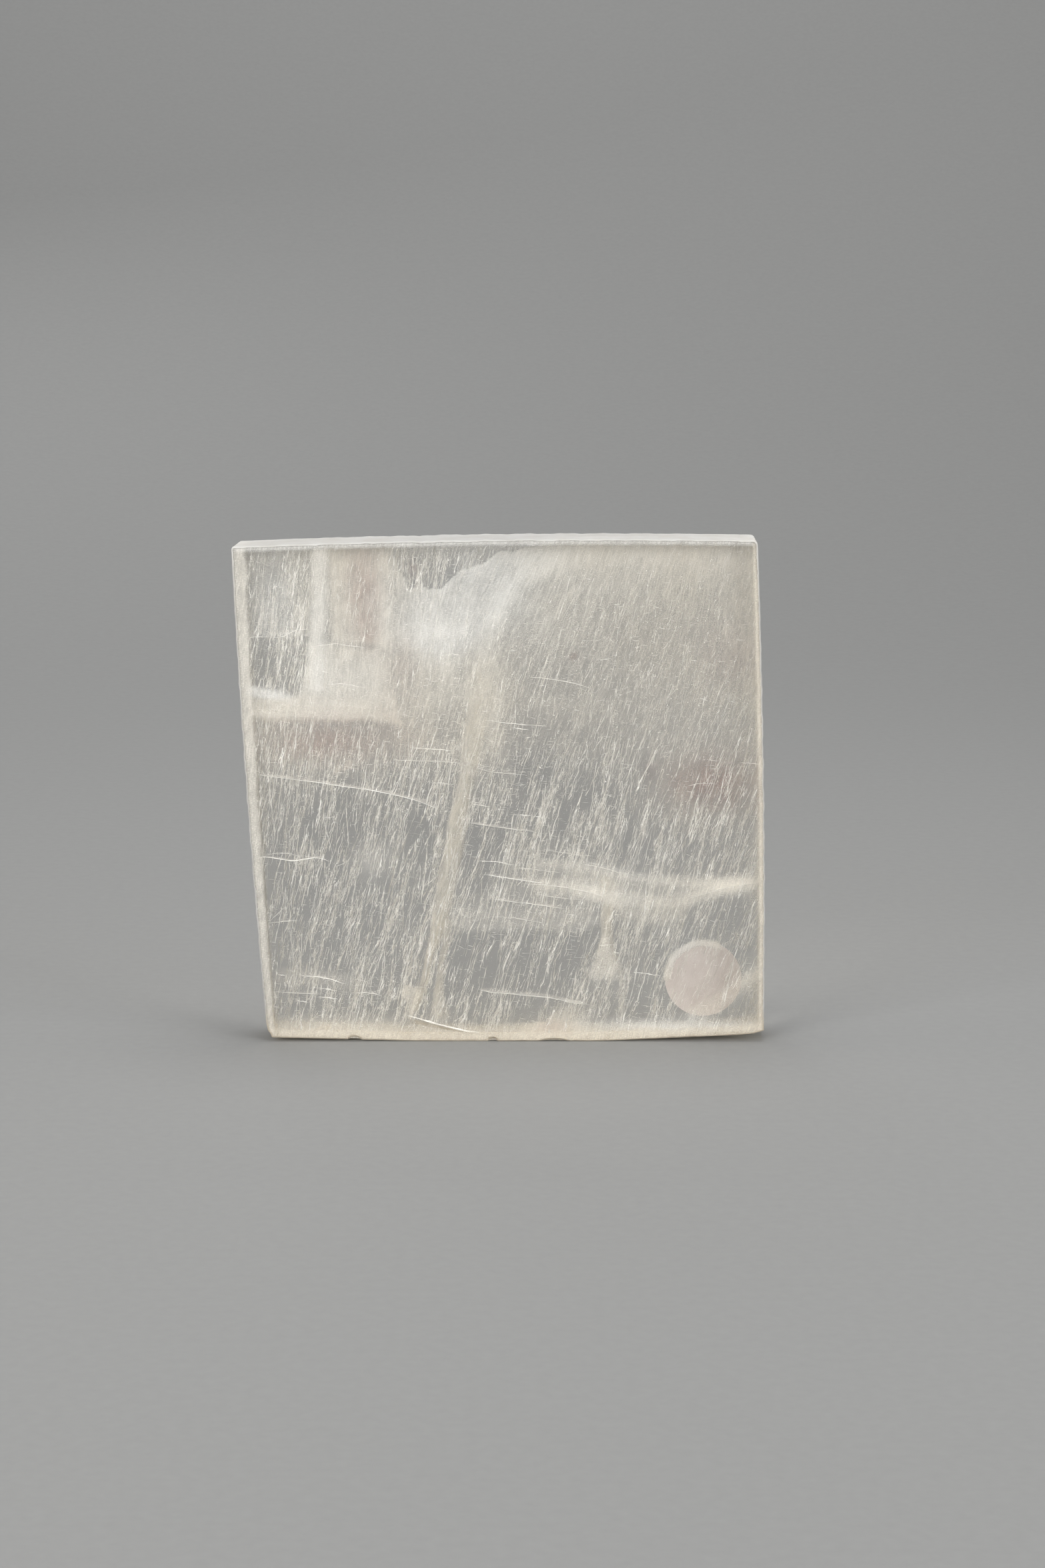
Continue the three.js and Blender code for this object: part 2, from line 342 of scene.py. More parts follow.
def spindles(paths, radii, turns):
    """Three-sided rods that run out to a point at both ends. paths holds each rod's stations, count by
    stations by three. Every station between the ends has three corners at its radius, a third of a turn apart
    in the plane of Y and the in-plane normal of the way. Returns points and triangles."""
    count, stations, _ = paths.shape
    way = np.gradient(paths, axis=1)
    side = np.stack([way[..., 2], np.zeros((count, stations)), -way[..., 0]], -1)
    side /= np.maximum(np.linalg.norm(side, axis=-1), 1e-9)[..., None]
    thick = np.array([0.0, 1.0, 0.0])
    angle = turns[:, None] + np.arange(3) * 2 * np.pi / 3
    ring = (
        paths[:, 1:-1, None, :]
        + (radii[:, 1:-1, None, None] * np.cos(angle)[:, None, :, None]) * side[:, 1:-1, None, :]
        + (radii[:, 1:-1, None, None] * np.sin(angle)[:, None, :, None]) * thick
    )
    inner = stations - 2
    points = np.concatenate([paths[:, :1], ring.reshape(count, inner * 3, 3), paths[:, -1:]], axis=1)
    faces, last = [], inner * 3 + 1
    for k in range(3):
        following = (k + 1) % 3
        faces.append((0, 1 + following, 1 + k))
        faces.append((last, last - 3 + k, last - 3 + following))
        for station in range(inner - 1):
            a, b = 1 + station * 3 + k, 1 + station * 3 + following
            faces += [(a, b, a + 3), (b, b + 3, a + 3)]
    every = np.arange(count)[:, None, None] * (last + 1) + np.array(faces)
    return points.reshape(-1, 3), every.reshape(-1, 3)


# ---- materials ----


def wire(tree, kind, inputs=None, **settings):
    """Adds a node with its settings. An input that is given a socket is linked to it, any other gets the
    value."""
    node = tree.nodes.new(kind)
    for name, value in settings.items():
        setattr(node, name, value)
    for key, value in (inputs or {}).items():
        if isinstance(value, bpy.types.NodeSocket):
            tree.links.new(value, node.inputs[key])
        else:
            node.inputs[key].default_value = value
    return node


def new_material(name):
    """An empty node material, its tree and its output node."""
    material = bpy.data.materials.new(name)
    material.use_nodes = True
    material.node_tree.nodes.clear()
    return material, material.node_tree, material.node_tree.nodes.new("ShaderNodeOutputMaterial")


def object_place(tree):
    """The place on the piece, in metres."""
    return wire(tree, "ShaderNodeTexCoord").outputs["Object"]


def noise(tree, place, scale, detail, roughness=0.5, distortion=0.0, **settings):
    """Smooth noise, mostly between 0.3 and 0.7."""
    values = {"Vector": place, "Scale": scale, "Detail": detail}
    values |= {"Roughness": roughness, "Distortion": distortion}
    return wire(tree, "ShaderNodeTexNoise", values, **settings).outputs["Fac"]


def spread(tree, value, low, high, to_low=0.0, to_high=1.0):
    """A value stretched so that low and high become to_low and to_high, and held between those."""
    values = {"Value": value, 1: low, 2: high, 3: to_low, 4: to_high}
    return wire(tree, "ShaderNodeMapRange", values, clamp=True).outputs[0]


def reckon(tree, operation, *values, **settings):
    """One step of arithmetic."""
    return wire(tree, "ShaderNodeMath", dict(enumerate(values)), operation=operation, **settings).outputs[0]


def stretched(tree, place, sizes):
    """A place with each of its axes multiplied."""
    return wire(tree, "ShaderNodeVectorMath", {0: place, 1: sizes}, operation="MULTIPLY").outputs[0]


def mixed(tree, factor, first, second):
    """A colour between two: the first where factor is 0 and the second where it is 1."""
    ends = [each if isinstance(each, bpy.types.NodeSocket) else (*each, 1.0) for each in (first, second)]
    values = {"Factor": factor, 6: ends[0], 7: ends[1]}
    return wire(tree, "ShaderNodeMix", values, data_type="RGBA").outputs[2]


def bumped(tree, height, strength, distance):
    """Normals that are tilted by a height."""
    values = {"Height": height, "Strength": strength, "Distance": distance}
    return wire(tree, "ShaderNodeBump", values).outputs[0]


def plain_surface(tree, out, values):
    """Sets a surface of plain settings."""
    shader = wire(tree, "ShaderNodeBsdfPrincipled", values)
    tree.links.new(shader.outputs[0], out.inputs["Surface"])


def silky_grain():
    """Fine streaks that run with the fibres. Grain holds millimetres across and along them. Streaks is 0 to 1
    and mostly fine, Dashes is 0 with small patches of 1 that lie across the grain, Mottle is 0 to 1 and
    coarse."""
    tree = bpy.data.node_groups.new("silky_grain", "ShaderNodeTree")
    for socket, kind in (("Grain", "Vector"), ("Shift", "Float")):
        tree.interface.new_socket(socket, in_out="INPUT", socket_type="NodeSocket" + kind)
    for socket in ("Streaks", "Dashes", "Mottle"):
        tree.interface.new_socket(socket, in_out="OUTPUT", socket_type="NodeSocketFloat")
    given, result = tree.nodes.new("NodeGroupInput"), tree.nodes.new("NodeGroupOutput")
    moved = wire(tree, "ShaderNodeVectorMath", {0: given.outputs["Grain"], 1: given.outputs["Shift"]})

    def patches(across, upwards, detail, low, high):
        place = stretched(tree, moved.outputs[0], (across, upwards, 1.0))
        return spread(tree, noise(tree, place, 1.0, detail, 0.6, 0.2, noise_dimensions="2D"), low, high)

    fine, broad = patches(3.0, 0.22, 3.0, 0.44, 0.68), patches(0.9, 0.08, 2.0, 0.3, 0.7)
    streaks = reckon(tree, "MULTIPLY", fine, reckon(tree, "MULTIPLY_ADD", broad, 0.7, 0.3))
    tree.links.new(streaks, result.inputs["Streaks"])
    tree.links.new(patches(1.6, 7.0, 2.0, 0.56, 0.68), result.inputs["Dashes"])
    tree.links.new(patches(0.3, 0.16, 3.0, 0.3, 0.7), result.inputs["Mottle"])
    return tree


GRAIN = silky_grain()
CRYSTAL_IOR = 1.52


def crystal_outputs(tree, out, shader, stand_in_colour):
    """Sets a crystal's surface and volume. Lamps shine through it: their rays meet a Transparent shader in
    place of its own. Its volume has the crystal's own faint warm tint, by the depth that light
    crosses."""
    clear = wire(tree, "ShaderNodeBsdfTransparent", {"Color": (*stand_in_colour, 1.0)})
    path = wire(tree, "ShaderNodeLightPath")
    both = {0: path.outputs["Is Shadow Ray"], 1: shader.outputs[0], 2: clear.outputs[0]}
    tree.links.new(wire(tree, "ShaderNodeMixShader", both).outputs[0], out.inputs["Surface"])
    tint = wire(tree, "ShaderNodeVolumeAbsorption", {"Color": (0.8, 0.785, 0.755, 1.0), "Density": 52.0})
    tree.links.new(tint.outputs[0], out.inputs["Volume"])


def polished_crystal():
    """A cleaved and polished face: clear, with fine scratches along the grain and slow waves."""
    material, tree, out = new_material("polished_crystal")
    place = object_place(tree)
    turned = wire(tree, "ShaderNodeMapping", {"Vector": place, "Rotation": (0.0, math.radians(14), 0.0)})
    scratch = noise(tree, stretched(tree, turned.outputs[0], (2600.0, 2600.0, 130.0)), 1.0, 3.0)
    height = reckon(tree, "MULTIPLY_ADD", noise(tree, place, 45.0, 2.0), 6.0, scratch)
    values = {"Base Color": (0.985, 0.98, 0.965, 1.0), "Roughness": 0.03, "IOR": CRYSTAL_IOR}
    values |= {"Transmission Weight": 1.0, "Normal": bumped(tree, height, 0.35, 0.00001)}
    glass = wire(tree, "ShaderNodeBsdfPrincipled", values)
    crystal_outputs(tree, out, glass, (0.95, 0.94, 0.92))
    return material


def sawn_crystal():
    """A sawn side: frosted and whitish, with saw marks, fibre ends and a brown stain at the foot. Light that
    falls on either side of it makes it glow."""
    material, tree, out = new_material("sawn_crystal")
    place = object_place(tree)
    grain = noise(tree, place, 900.0, 4.0, 0.6)
    tone = spread(tree, noise(tree, place, 160.0, 3.0), 0.35, 0.65)
    colour = mixed(tree, tone, (0.92, 0.9, 0.86), (0.99, 0.98, 0.955))
    height = wire(tree, "ShaderNodeSeparateXYZ", {0: place}).outputs["Z"]
    colour = mixed(tree, spread(tree, height, 0.003, 0.009, 0.8, 0.0), colour, (0.9, 0.79, 0.63))
    normal = bumped(tree, grain, 0.7, 0.00008)
    values = {"Base Color": colour, "Roughness": spread(tree, grain, 0.3, 0.7, 0.42, 0.7), "IOR": CRYSTAL_IOR}
    values |= {"Specular IOR Level": 0.0, "Transmission Weight": 0.2, "Normal": normal}
    frosted = wire(tree, "ShaderNodeBsdfPrincipled", values)
    glowing = wire(tree, "ShaderNodeBsdfTranslucent", {"Color": colour, "Normal": normal})
    both = wire(tree, "ShaderNodeMixShader", {0: 0.38, 1: frosted.outputs[0], 2: glowing.outputs[0]})
    crystal_outputs(tree, out, both, (0.8, 0.79, 0.76))
    return material


def cloudy_veil(name, shift):
    """A cloudy film of tiny gaps in the crystal. cloud is how thick its soft part is and silk its streaky
    part. warmth turns its white to cream, and blush to a rusty pink. The cream is the films' own tint, but it
    is also made darker than the white as painted shade: the white places, most of them high up, look more lit
    than the cream ones. It covers 1 less e to the power of minus its thickness."""
    material, tree, out = new_material(name)
    read = {key: wire(tree, "ShaderNodeAttribute", attribute_name=key).outputs["Fac"] for key in VEIL_VALUES}
    grain = wire(tree, "ShaderNodeGroup", node_tree=GRAIN)
    tree.links.new(wire(tree, "ShaderNodeUVMap", uv_map="grain").outputs[0], grain.inputs["Grain"])
    grain.inputs["Shift"].default_value = shift
    streaks, dashes, mottle = (grain.outputs[key] for key in ("Streaks", "Dashes", "Mottle"))
    uneven = reckon(tree, "ADD", spread(tree, streaks, 0.0, 1.0, 0.75, 1.5), dashes)
    soft = reckon(tree, "MULTIPLY", read["cloud"], spread(tree, mottle, 0.0, 1.0, 0.7, 1.25))
    ribs = reckon(tree, "MULTIPLY_ADD", streaks, 4.0, reckon(tree, "MULTIPLY", dashes, 1.6))
    silky = reckon(tree, "MULTIPLY", read["silk"], ribs)
    thick = reckon(tree, "ADD", reckon(tree, "MULTIPLY", soft, uneven), silky)
    passed = reckon(tree, "EXPONENT", reckon(tree, "MULTIPLY", thick, -1.0))
    cover = reckon(tree, "SUBTRACT", 1.0, passed, use_clamp=True)
    # The cream is darker as well as warmer than the white: partly the films' own tint, partly painted shade
    # where they are cream and painted light where they are white.
    cream = mixed(tree, read["warmth"], (0.87, 0.875, 0.87), (0.81, 0.765, 0.68))
    tinted = mixed(tree, read["blush"], cream, (0.43, 0.31, 0.285))
    values = {"Base Color": tinted, "Roughness": 0.55, "Alpha": cover}
    plain_surface(tree, out, values | {"Normal": bumped(tree, streaks, 0.08, 0.0001)})
    return material


def silk(name, dark, light, low):
    """What fibres, threads and sparks are made of: thin air-filled gaps that shine white. Their colour is
    darkened in the lower half, down to low of itself, as painted shade for the weaker light low in the slab."""
    material, tree, out = new_material(name)
    place = object_place(tree)
    spots = noise(tree, place, 420.0, 2.0)
    colour = mixed(tree, spread(tree, spots, 0.35, 0.65), dark, light)
    height = wire(tree, "ShaderNodeSeparateXYZ", {0: place}).outputs["Z"]
    # Painted shade: the colour is scaled down from 90 mm high to 45 mm and below, where it is low of itself.
    painted_shade_low_down = {0: colour, "Scale": spread(tree, height, 0.045, 0.09, low, 1.0)}
    scaled = wire(tree, "ShaderNodeVectorMath", painted_shade_low_down, operation="SCALE").outputs[0]
    plain_surface(tree, out, {"Base Color": scaled, "Roughness": spread(tree, spots, 0.0, 1.0, 0.25, 0.5)})
    return material


def label_paper():
    """Matt paper with a faint warm mottle and fibres."""
    material, tree, out = new_material("label_paper")
    place = object_place(tree)
    tone = spread(tree, noise(tree, place, 170.0, 3.0), 0.35, 0.65)
    colour = mixed(tree, tone, (0.66, 0.61, 0.615), (0.75, 0.705, 0.715))
    normal = bumped(tree, noise(tree, place, 1400.0, 4.0, 0.7), 0.5, 0.00003)
    plain_surface(tree, out, {"Base Color": colour, "Roughness": 0.85, "Normal": normal})
    return material


# ---- the crystal body ----


def broken(points):
    """Opens the shell-shaped breaks and lifts the flake off. A point inside a break's ellipsoid moves
    straight away from its centre to its skin. In front of the flake's step, points move back to the step's
    slope. Also returns which points are rough: those of the shell-shaped breaks."""
    moved = np.zeros(len(points), bool)
    for centre, size in SCALLOPS:
        centre, size = np.array(centre), np.array(size)
        away = (points - centre) / size
        distance = np.linalg.norm(away, axis=1)
        hit = (distance < 1.0) & (distance > 1e-6)
        points[hit] = centre + size * away[hit] / distance[hit, None]
        moved |= hit
    edge = np.array(FLAKE_EDGE)
    left, right = edge[0, 0], edge[-1, 0]
    slope = FRONT_Y + FLAKE_DEPTH * (points[:, 0] - left) / (right - left)
    below = np.interp(points[:, 0], edge[:, 0], edge[:, 1]) - points[:, 2]
    hit = (below > 0) & (points[:, 0] > left) & (points[:, 0] < right + 0.5)
    sunk = FRONT_Y + (slope - FRONT_Y) * ease(below / FLAKE_STEP)
    points[hit, 1] = np.maximum(points[hit, 1], sunk[hit])
    return points, moved


def crystal_body(polished, sawn):
    """The slab as one closed skin: a profile carried round the outline. The profile starts at the middle of
    the front face, runs out to the arris, turns over it on a quarter circle, crosses the sawn side, and comes
    back over the back face. The sawn side sinks in by saw marks and lumps, and the arris is worn unevenly."""
    front = front_outline()
    back = leaned(front)
    front_in, back_in = inwards(front), inwards(back)
    count = len(front)
    way = np.arange(count) * OUTLINE_STEP
    rings = []

    def ring(share, inset, y):
        inset = np.broadcast_to(inset, count)[:, None]
        flat = (1 - share) * (front + inset * front_in) + share * (back + inset * back_in)
        rings.append(np.column_stack([flat[:, 0], np.broadcast_to(y, count), flat[:, 1]]))

    worn_front = ARRIS * (0.7 + 0.25 * lumps(way, 0.0, 5.3, 21) + 0.3 * lumps(way, 0.0, 0.9, 22) ** 3)
    worn_back = ARRIS * (0.7 + 0.25 * lumps(way, 0.0, 4.7, 23) + 0.3 * lumps(way, 0.0, 1.1, 24) ** 3)
    face_insets = 0.06 + FACE_REACH * np.linspace(1.0, 0.0, FACE_RINGS) ** 1.3
    quarter = np.radians([0, 22.5, 45, 67.5, 90])

    for inset in face_insets:
        ring(0.0, inset + worn_front, FRONT_Y)
    sawn_from = len(rings) - 1
    for angle in quarter[1:-1]:
        ring(0.0, worn_front * (1 - np.sin(angle)), FRONT_Y + worn_front * (1 - np.cos(angle)))
    for share in np.linspace(0.0, 1.0, SIDE_RINGS):
        y = FRONT_Y + worn_front + share * (THICKNESS - worn_front - worn_back)
        across = share * THICKNESS
        wobble = 0.05 * across + 0.8 * lumps(way, across, 6.0, 25)
        marks = 0.5 + 0.5 * np.sin(2 * np.pi * (way / SAW_MARK_PITCH + wobble))
        pits = lumps(way, across, 0.7, 26) ** 3 + 0.6 * lumps(way, across, 2.1, 27) ** 2
        ends = np.sin(np.pi * np.clip(share, 0.04, 0.96)) ** 0.3
        ring(share, ends * (0.035 * marks + 0.09 * pits), y)
    for angle in quarter[-2:0:-1]:
        ring(1.0, worn_back * (1 - np.sin(angle)), BACK_Y - worn_back * (1 - np.cos(angle)))
    sawn_to = len(rings)
    for inset in face_insets[::-1]:
        ring(1.0, inset + worn_back, BACK_Y)

    middle = np.array([0.0, 0.0, HEIGHT / 2])
    shares = np.linspace(0.12, 0.88, INNER_RINGS)
    first, last = rings[0], rings[-1]
    front_middle, back_middle = middle + [0, FRONT_Y, 0], middle + [0, BACK_Y, 0]
    rings = [front_middle + s * (first - front_middle) for s in shares] + rings
    rings += [back_middle + s * (last - back_middle) for s in shares[::-1]]
    sawn_from, sawn_to = sawn_from + len(shares), sawn_to + len(shares)

    points, rough = broken(np.vstack([*rings, front_middle, back_middle]))
    total = len(rings) * count
    here = np.arange(count)
    following = (here + 1) % count
    quads = ring_faces(len(rings), count)
    front_cap = np.column_stack([np.full(count, total), here, following])
    back_cap = np.column_stack([np.full(count, total + 1), total - count + following, total - count + here])
    triangles = np.vstack([front_cap, back_cap, quads[:, [0, 3, 2]], quads[:, [0, 2, 1]]])
    strip_of = np.repeat(np.arange(len(rings) - 1), count)
    is_sawn = (strip_of >= sawn_from) & (strip_of < sawn_to)
    is_sawn = np.r_[np.zeros(2 * count, bool), is_sawn, is_sawn] | rough[triangles].any(1)
    skin = points, triangles, [polished, sawn]
    piece = new_piece("crystal_body", *skin, slots=is_sawn, smooth=is_sawn, casts_shadow=True)
    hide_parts("selenite_slab")


# ---- cloudy sheets along the cleavage ----


def lean_degrees(x, z):
    """How far the fibres lean to the right at their top. It changes slowly: a weighted mean of a few
    places."""
    places = (
        (-57, 110, 10), (-36, 110, 6), (-14, 104, 11), (8, 108, 19), (30, 108, 18), (53, 108, 12),
        (-57, 82, 9), (-38, 84, 9), (-14, 82, 14), (10, 80, 15), (32, 80, 14), (52, 80, 19),
        (-58, 50, 7), (-42, 50, 12), (-20, 50, 14), (2, 52, 14), (22, 52, 14), (50, 52, 17),
        (-58, 20, 8), (-40, 20, 17), (-16, 20, 14), (8, 20, 15), (30, 20, 15), (54, 22, 19),
    )  # fmt: skip
    reach = 12.0
    total = weight = 0.0
    for px, pz, lean in places:
        near = np.exp(-((x - px) ** 2 + (z - pz) ** 2) / (2 * reach**2)) + 1e-12
        total, weight = total + near * lean, weight + near
    return total / weight


def grain_across(x, z):
    """Millimetres across the fibres: X, less the way that a fibre has leant on its way up from the middle."""
    return x - np.tan(np.radians(lean_degrees(x, z))) * (z - HEIGHT / 2)


def gathered(x, z):
    """How thickly the fibres lie, from 0 to 1: in long narrow bundles that run with the grain, plainest low
    down, and all along the column of cloud."""
    across = grain_across(x, z)
    bundles = 0.35 * lumps(across, z / 6.0, 2.1, 81) + 0.65 * lumps(across, z / 6.0, 0.9, 82)
    value = 1.0 - (0.9 - 0.5 * ease((z - 55.0) / 20.0)) * (1.0 - ease((bundles - 0.3) / 0.34))
    return np.maximum(value, NEAR_THE_COLUMN(x, z))


def glow(at_x, at_z, wide, high, turn, amount):
    """A soft ellipse of cloud: a bell curve of the distance from its centre, in its radii wide and high,
    turned by some degrees."""
    c, s = math.cos(math.radians(turn)), math.sin(math.radians(turn))

    def value(x, z):
        u, v = x - at_x, z - at_z
        return amount * np.exp(-(((c * u + s * v) / wide) ** 2) - ((c * v - s * u) / high) ** 2)

    return value


def clouds(*each):
    """A list of clouds. A row of numbers in it is a glow: X, Z, the two radii, turn and amount."""
    return [glow(*one) if isinstance(one, tuple) else one for one in each]


def summed(each, x, z):
    """How much of some clouds there is at a place, all together."""
    return sum(one(x, z) for one in each)


def band(points, half_width, soft, amount):
    """A strip of cloud along a line, which fades over soft at its edges and over its first and last
    twelfth."""
    line = smoothed(points, 40)

    def value(x, z):
        distance, share = polyline_distance(line, x, z)
        ends = ease(12 * share) * ease(12 * (1 - share))
        return amount * ease((half_width + soft - distance) / soft) * ends

    return value


# Beside the tall slanted column of cloud the fibres lie thick.
BESIDE_THE_COLUMN = (
    (-5, 94), (-4.9, 86), (-7, 76), (-8, 66), (-10.2, 56), (-12, 46), (-14.2, 36), (-16.2, 26), (-18.4, 16),
    (-20.5, 6),
)  # fmt: skip
NEAR_THE_COLUMN = band(BESIDE_THE_COLUMN, half_width=1.0, soft=1.4, amount=0.6)


def patch(points, soft, amount):
    """A polygon of cloud whose edge is as sharp as soft is small."""
    points = np.asarray(points, float)

    def value(x, z):
        return amount * ease(inside(points, x, z) / soft + 0.5)

    return value


# All that lies under and beside a sharp arc near the top edge: the arc, then a wide way round to its start.
ARC = (
    (-26.6, 125.4), (-26.2, 120.5), (-25, 117.7), (-23.5, 114.7), (-22.7, 112.3), (-20, 112.4), (-17, 112.2),
    (-14.5, 112), (-13, 113.5), (-10.5, 116.2), (-7, 117.5), (-4, 118.5), (-2, 120), (0, 121.2), (3, 121.2),
    (6, 122.2), (9, 122.7), (12, 123.7), (14.5, 124.2), (17.5, 126),
)  # fmt: skip
BESIDE_THE_ARC = ((75, 130), (75, -5), (-28.5, -5), (-28.5, 106), (-26.8, 108.6), (-25, 110.6))
ARC_LINES = [smoothed(ARC[a:b], count)[:-1] for a, b, count in ((0, 5, 13), (4, 8, 11), (7, 20, 31))]
UNDER_THE_ARC = np.vstack([*ARC_LINES, BESIDE_THE_ARC])
MILKY_CORE = (
    (-24, 116), (-28.5, 108), (-28, 100.5), (-20, 98.5), (-10, 98.5), (-4, 100), (0.5, 104.5), (3, 110),
    (9, 113.5), (16, 117), (30, 120), (66, 122.5), (66, 130), (0, 130),
)  # fmt: skip
BOX = (
    (-46.6, 98), (-41, 98.3), (-33, 97.5), (-29.4, 97.3), (-27.6, 93), (-27.4, 88), (-25.8, 83), (-24.5, 79),
    (-31, 79.8), (-45, 79.6), (-62.5, 80), (-62.5, 85), (-52, 85.2), (-49.5, 85.9), (-48, 88.5), (-47, 94),
)  # fmt: skip
BESIDE_THE_BOX = ((-31, 103), (-12, 99), (-9, 88), (-12, 80), (-24, 79), (-31, 84))
PINK_PANEL = ((-41.5, 122.5), (-28.5, 122.5), (-28.5, 98.5), (-41.2, 98.8))
UPPER_LEFT_WINDOW = ((-70, 123.4), (-45.8, 123.4), (-46, 112), (-46.8, 101.8), (-62, 101.3), (-70, 101))
LOWER_LEFT_WINDOW = (
    (-62.2, 100.6), (-46.7, 100.6), (-47.2, 94), (-48.6, 88.6), (-50, 86.4), (-52, 86.4), (-58, 87.9),
    (-62.2, 88.9),
)  # fmt: skip
COLUMN_WINDOW = ((-8.2, 54.4), (0.8, 53), (-1.6, 45), (-4, 37.5), (-9.5, 37))
FLOOR_WINDOW = ((-12.5, 27.2), (21.8, 26.8), (19.3, 19.7), (15.5, 10), (11, 4.5), (-13, 3.5), (-15, 15))

# How clear each window is, from 0 to 1.
WINDOWS = ((UPPER_LEFT_WINDOW, 0.25), (LOWER_LEFT_WINDOW, 0.7), (COLUMN_WINDOW, 0.9), (FLOOR_WINDOW, 0.9))
RUSTY_PATCH = (51.0, 63.5)
LABEL_CENTRE = (50.1, 14.3)
SEEN_RADIUS_OF_LABEL = 9.2

# Narrow dark gaps between the bundles of fibres: X, Z, half-width, half-length, and turn in degrees.
GAPS = (
    (-6.3, 49.5, 2, 6.5, -12), (18, 19, 2.8, 9.5, -14), (6.8, 21, 2.2, 8, -12), (-2, 20, 2.6, 8, -12),
    (-11, 21, 2, 7.5, -10), (35, 11, 2.8, 7.5, -14), (-55.8, 43, 2.4, 4, -8), (-54.5, 27.5, 2.4, 3.6, -8),
    (-46.5, 52, 2.2, 5, -10), (-36, 52.5, 2.8, 4.5, -10), (-29, 41, 1.8, 5, -14), (-43, 22, 2, 4.5, -14),
    (-52, 8, 3.5, 3, 0), (55, 32, 3, 4.5, -14), (-33, 31, 1.8, 4.5, -12), (-56, 114, 3, 5, 0),
    (-58, 96, 2.4, 5, 0), (-12, 116, 3, 3, 0), (5, 67, 2.2, 4, -10), (48.5, 61, 3.6, 3.6, 0),
    (15, 55, 2.4, 5, -14), (10, 66, 2.6, 5, -12), (38, 64, 3.4, 4, -14), (45, 66, 2.6, 4, -14),
    (22, 63, 2, 4.5, -14), (30.5, 50, 1.8, 4.5, -14), (-20.5, 52, 2.2, 6, -14), (60.5, 22, 2.2, 4, -14),
)  # fmt: skip

# How silky the cleavage is: the first ellipse covers all of the slab, and the others add to it or take away.
SILKY_PLACES = clouds(
    (0, 60, 900, 900, 0, 0.75), (-54, 106, 14, 22, 0, 0.9), (-10, 120, 22, 6, 0, 0.9),
    (40, 98, 36, 26, 0, 0.5), (-30, 72, 40, 9, 0, 0.4), (30, 64, 32, 7.5, 0, -0.5),
    (-42, 36, 22, 26, 0, -0.55), (4, 20, 20, 12, 0, -0.3),
)  # fmt: skip

# What is cloudy in each film. Those of the arc lie in the middle one and are cut off at the arc.
FRONT_CLOUDS = clouds(
    band(((-43.7, 125), (-43.8, 112.7), (-44.3, 104.6), (-44.9, 96.4), (-45.6, 86)), 0.5, 2.4, 0.72),
    band(((-66, 88.2), (-57, 87), (-50.5, 85.9)), 0.5, 1.5, 0.9),
    band(((-66, 83.2), (-57.3, 82.9), (-49.1, 82.9), (-41, 82.8), (-31, 82.6)), 1.4, 1.2, 0.22),
    (-39, 88, 9, 7, 0, 0.2), (-12, 101, 13, 9, 0, 0.2), (-31.5, 45.5, 4.4, 4.2, 0, 0.28),
    patch(((-13, 33.5), (22, 33.5), (24.5, 30), (20, 27.6), (5, 28), (-11, 27.4)), 2.6, 0.2),
    (6, 37, 20, 4, -3, 0.1),
    band(((6, 45.2), (15, 44.5), (21, 44.2), (25, 43.3), (30, 41.8), (37, 40.8), (45, 40.2), (55, 40.2),
        (64, 40.8)), 0.2, 1.9, 0.36),
    band(((6, 39.5), (13, 38.9), (20, 37.7), (26, 36), (33, 35.4), (42, 35.2), (48, 35.9), (52, 37.5),
        (57, 38.7), (64.4, 39.5)), 0.3, 2.1, 0.42),
    (23, 37.4, 4.5, 2, -14, 0.6), (30, 39, 26, 5, -4, 0.1), (55, 38.8, 8, 2, 6, 0.75),
    (64.5, 41.6, 4, 2.2, 25, 0.4),
    patch(((21.5, 16.8), (21.9, 15.4), (23.4, 14.8), (25.4, 15.4), (27, 14.7), (28.9, 15.6), (28.4, 17.4),
        (29.4, 19.2), (27.6, 20.2), (27, 23), (26.6, 26), (24.4, 26), (23.7, 21.4), (22.2, 19.2)), 0.9, 0.45),
    patch(((-24.6, 12.6), (-23.8, 13.9), (-21.9, 13.8), (-20.3, 12.7), (-20, 11.2), (-21, 9.9), (-21.8, 8),
        (-22, 5.6), (-23.3, 5.8), (-23, 8.5), (-24.1, 10.4)), 1.1, 0.65),
    (12.5, 3.6, 7, 3.8, 0, 1),
    band(((66, 17.6), (61.5, 15.8), (57, 12), (52, 8.5), (45, 5)), 0.4, 3, 0.3),
    (63.5, 16.6, 4, 1.6, 35, 0.5), (42, 3.4, 24, 1.6, 0, 0.6), (-42, 3.4, 18, 2.2, 0, 0.5),
    (64.6, 52, 2.2, 12, 0, 0.6), (0, 125.4, 90, 1.6, 0, 0.5), (-10, 118, 15, 6, 0, 0.12),
)  # fmt: skip
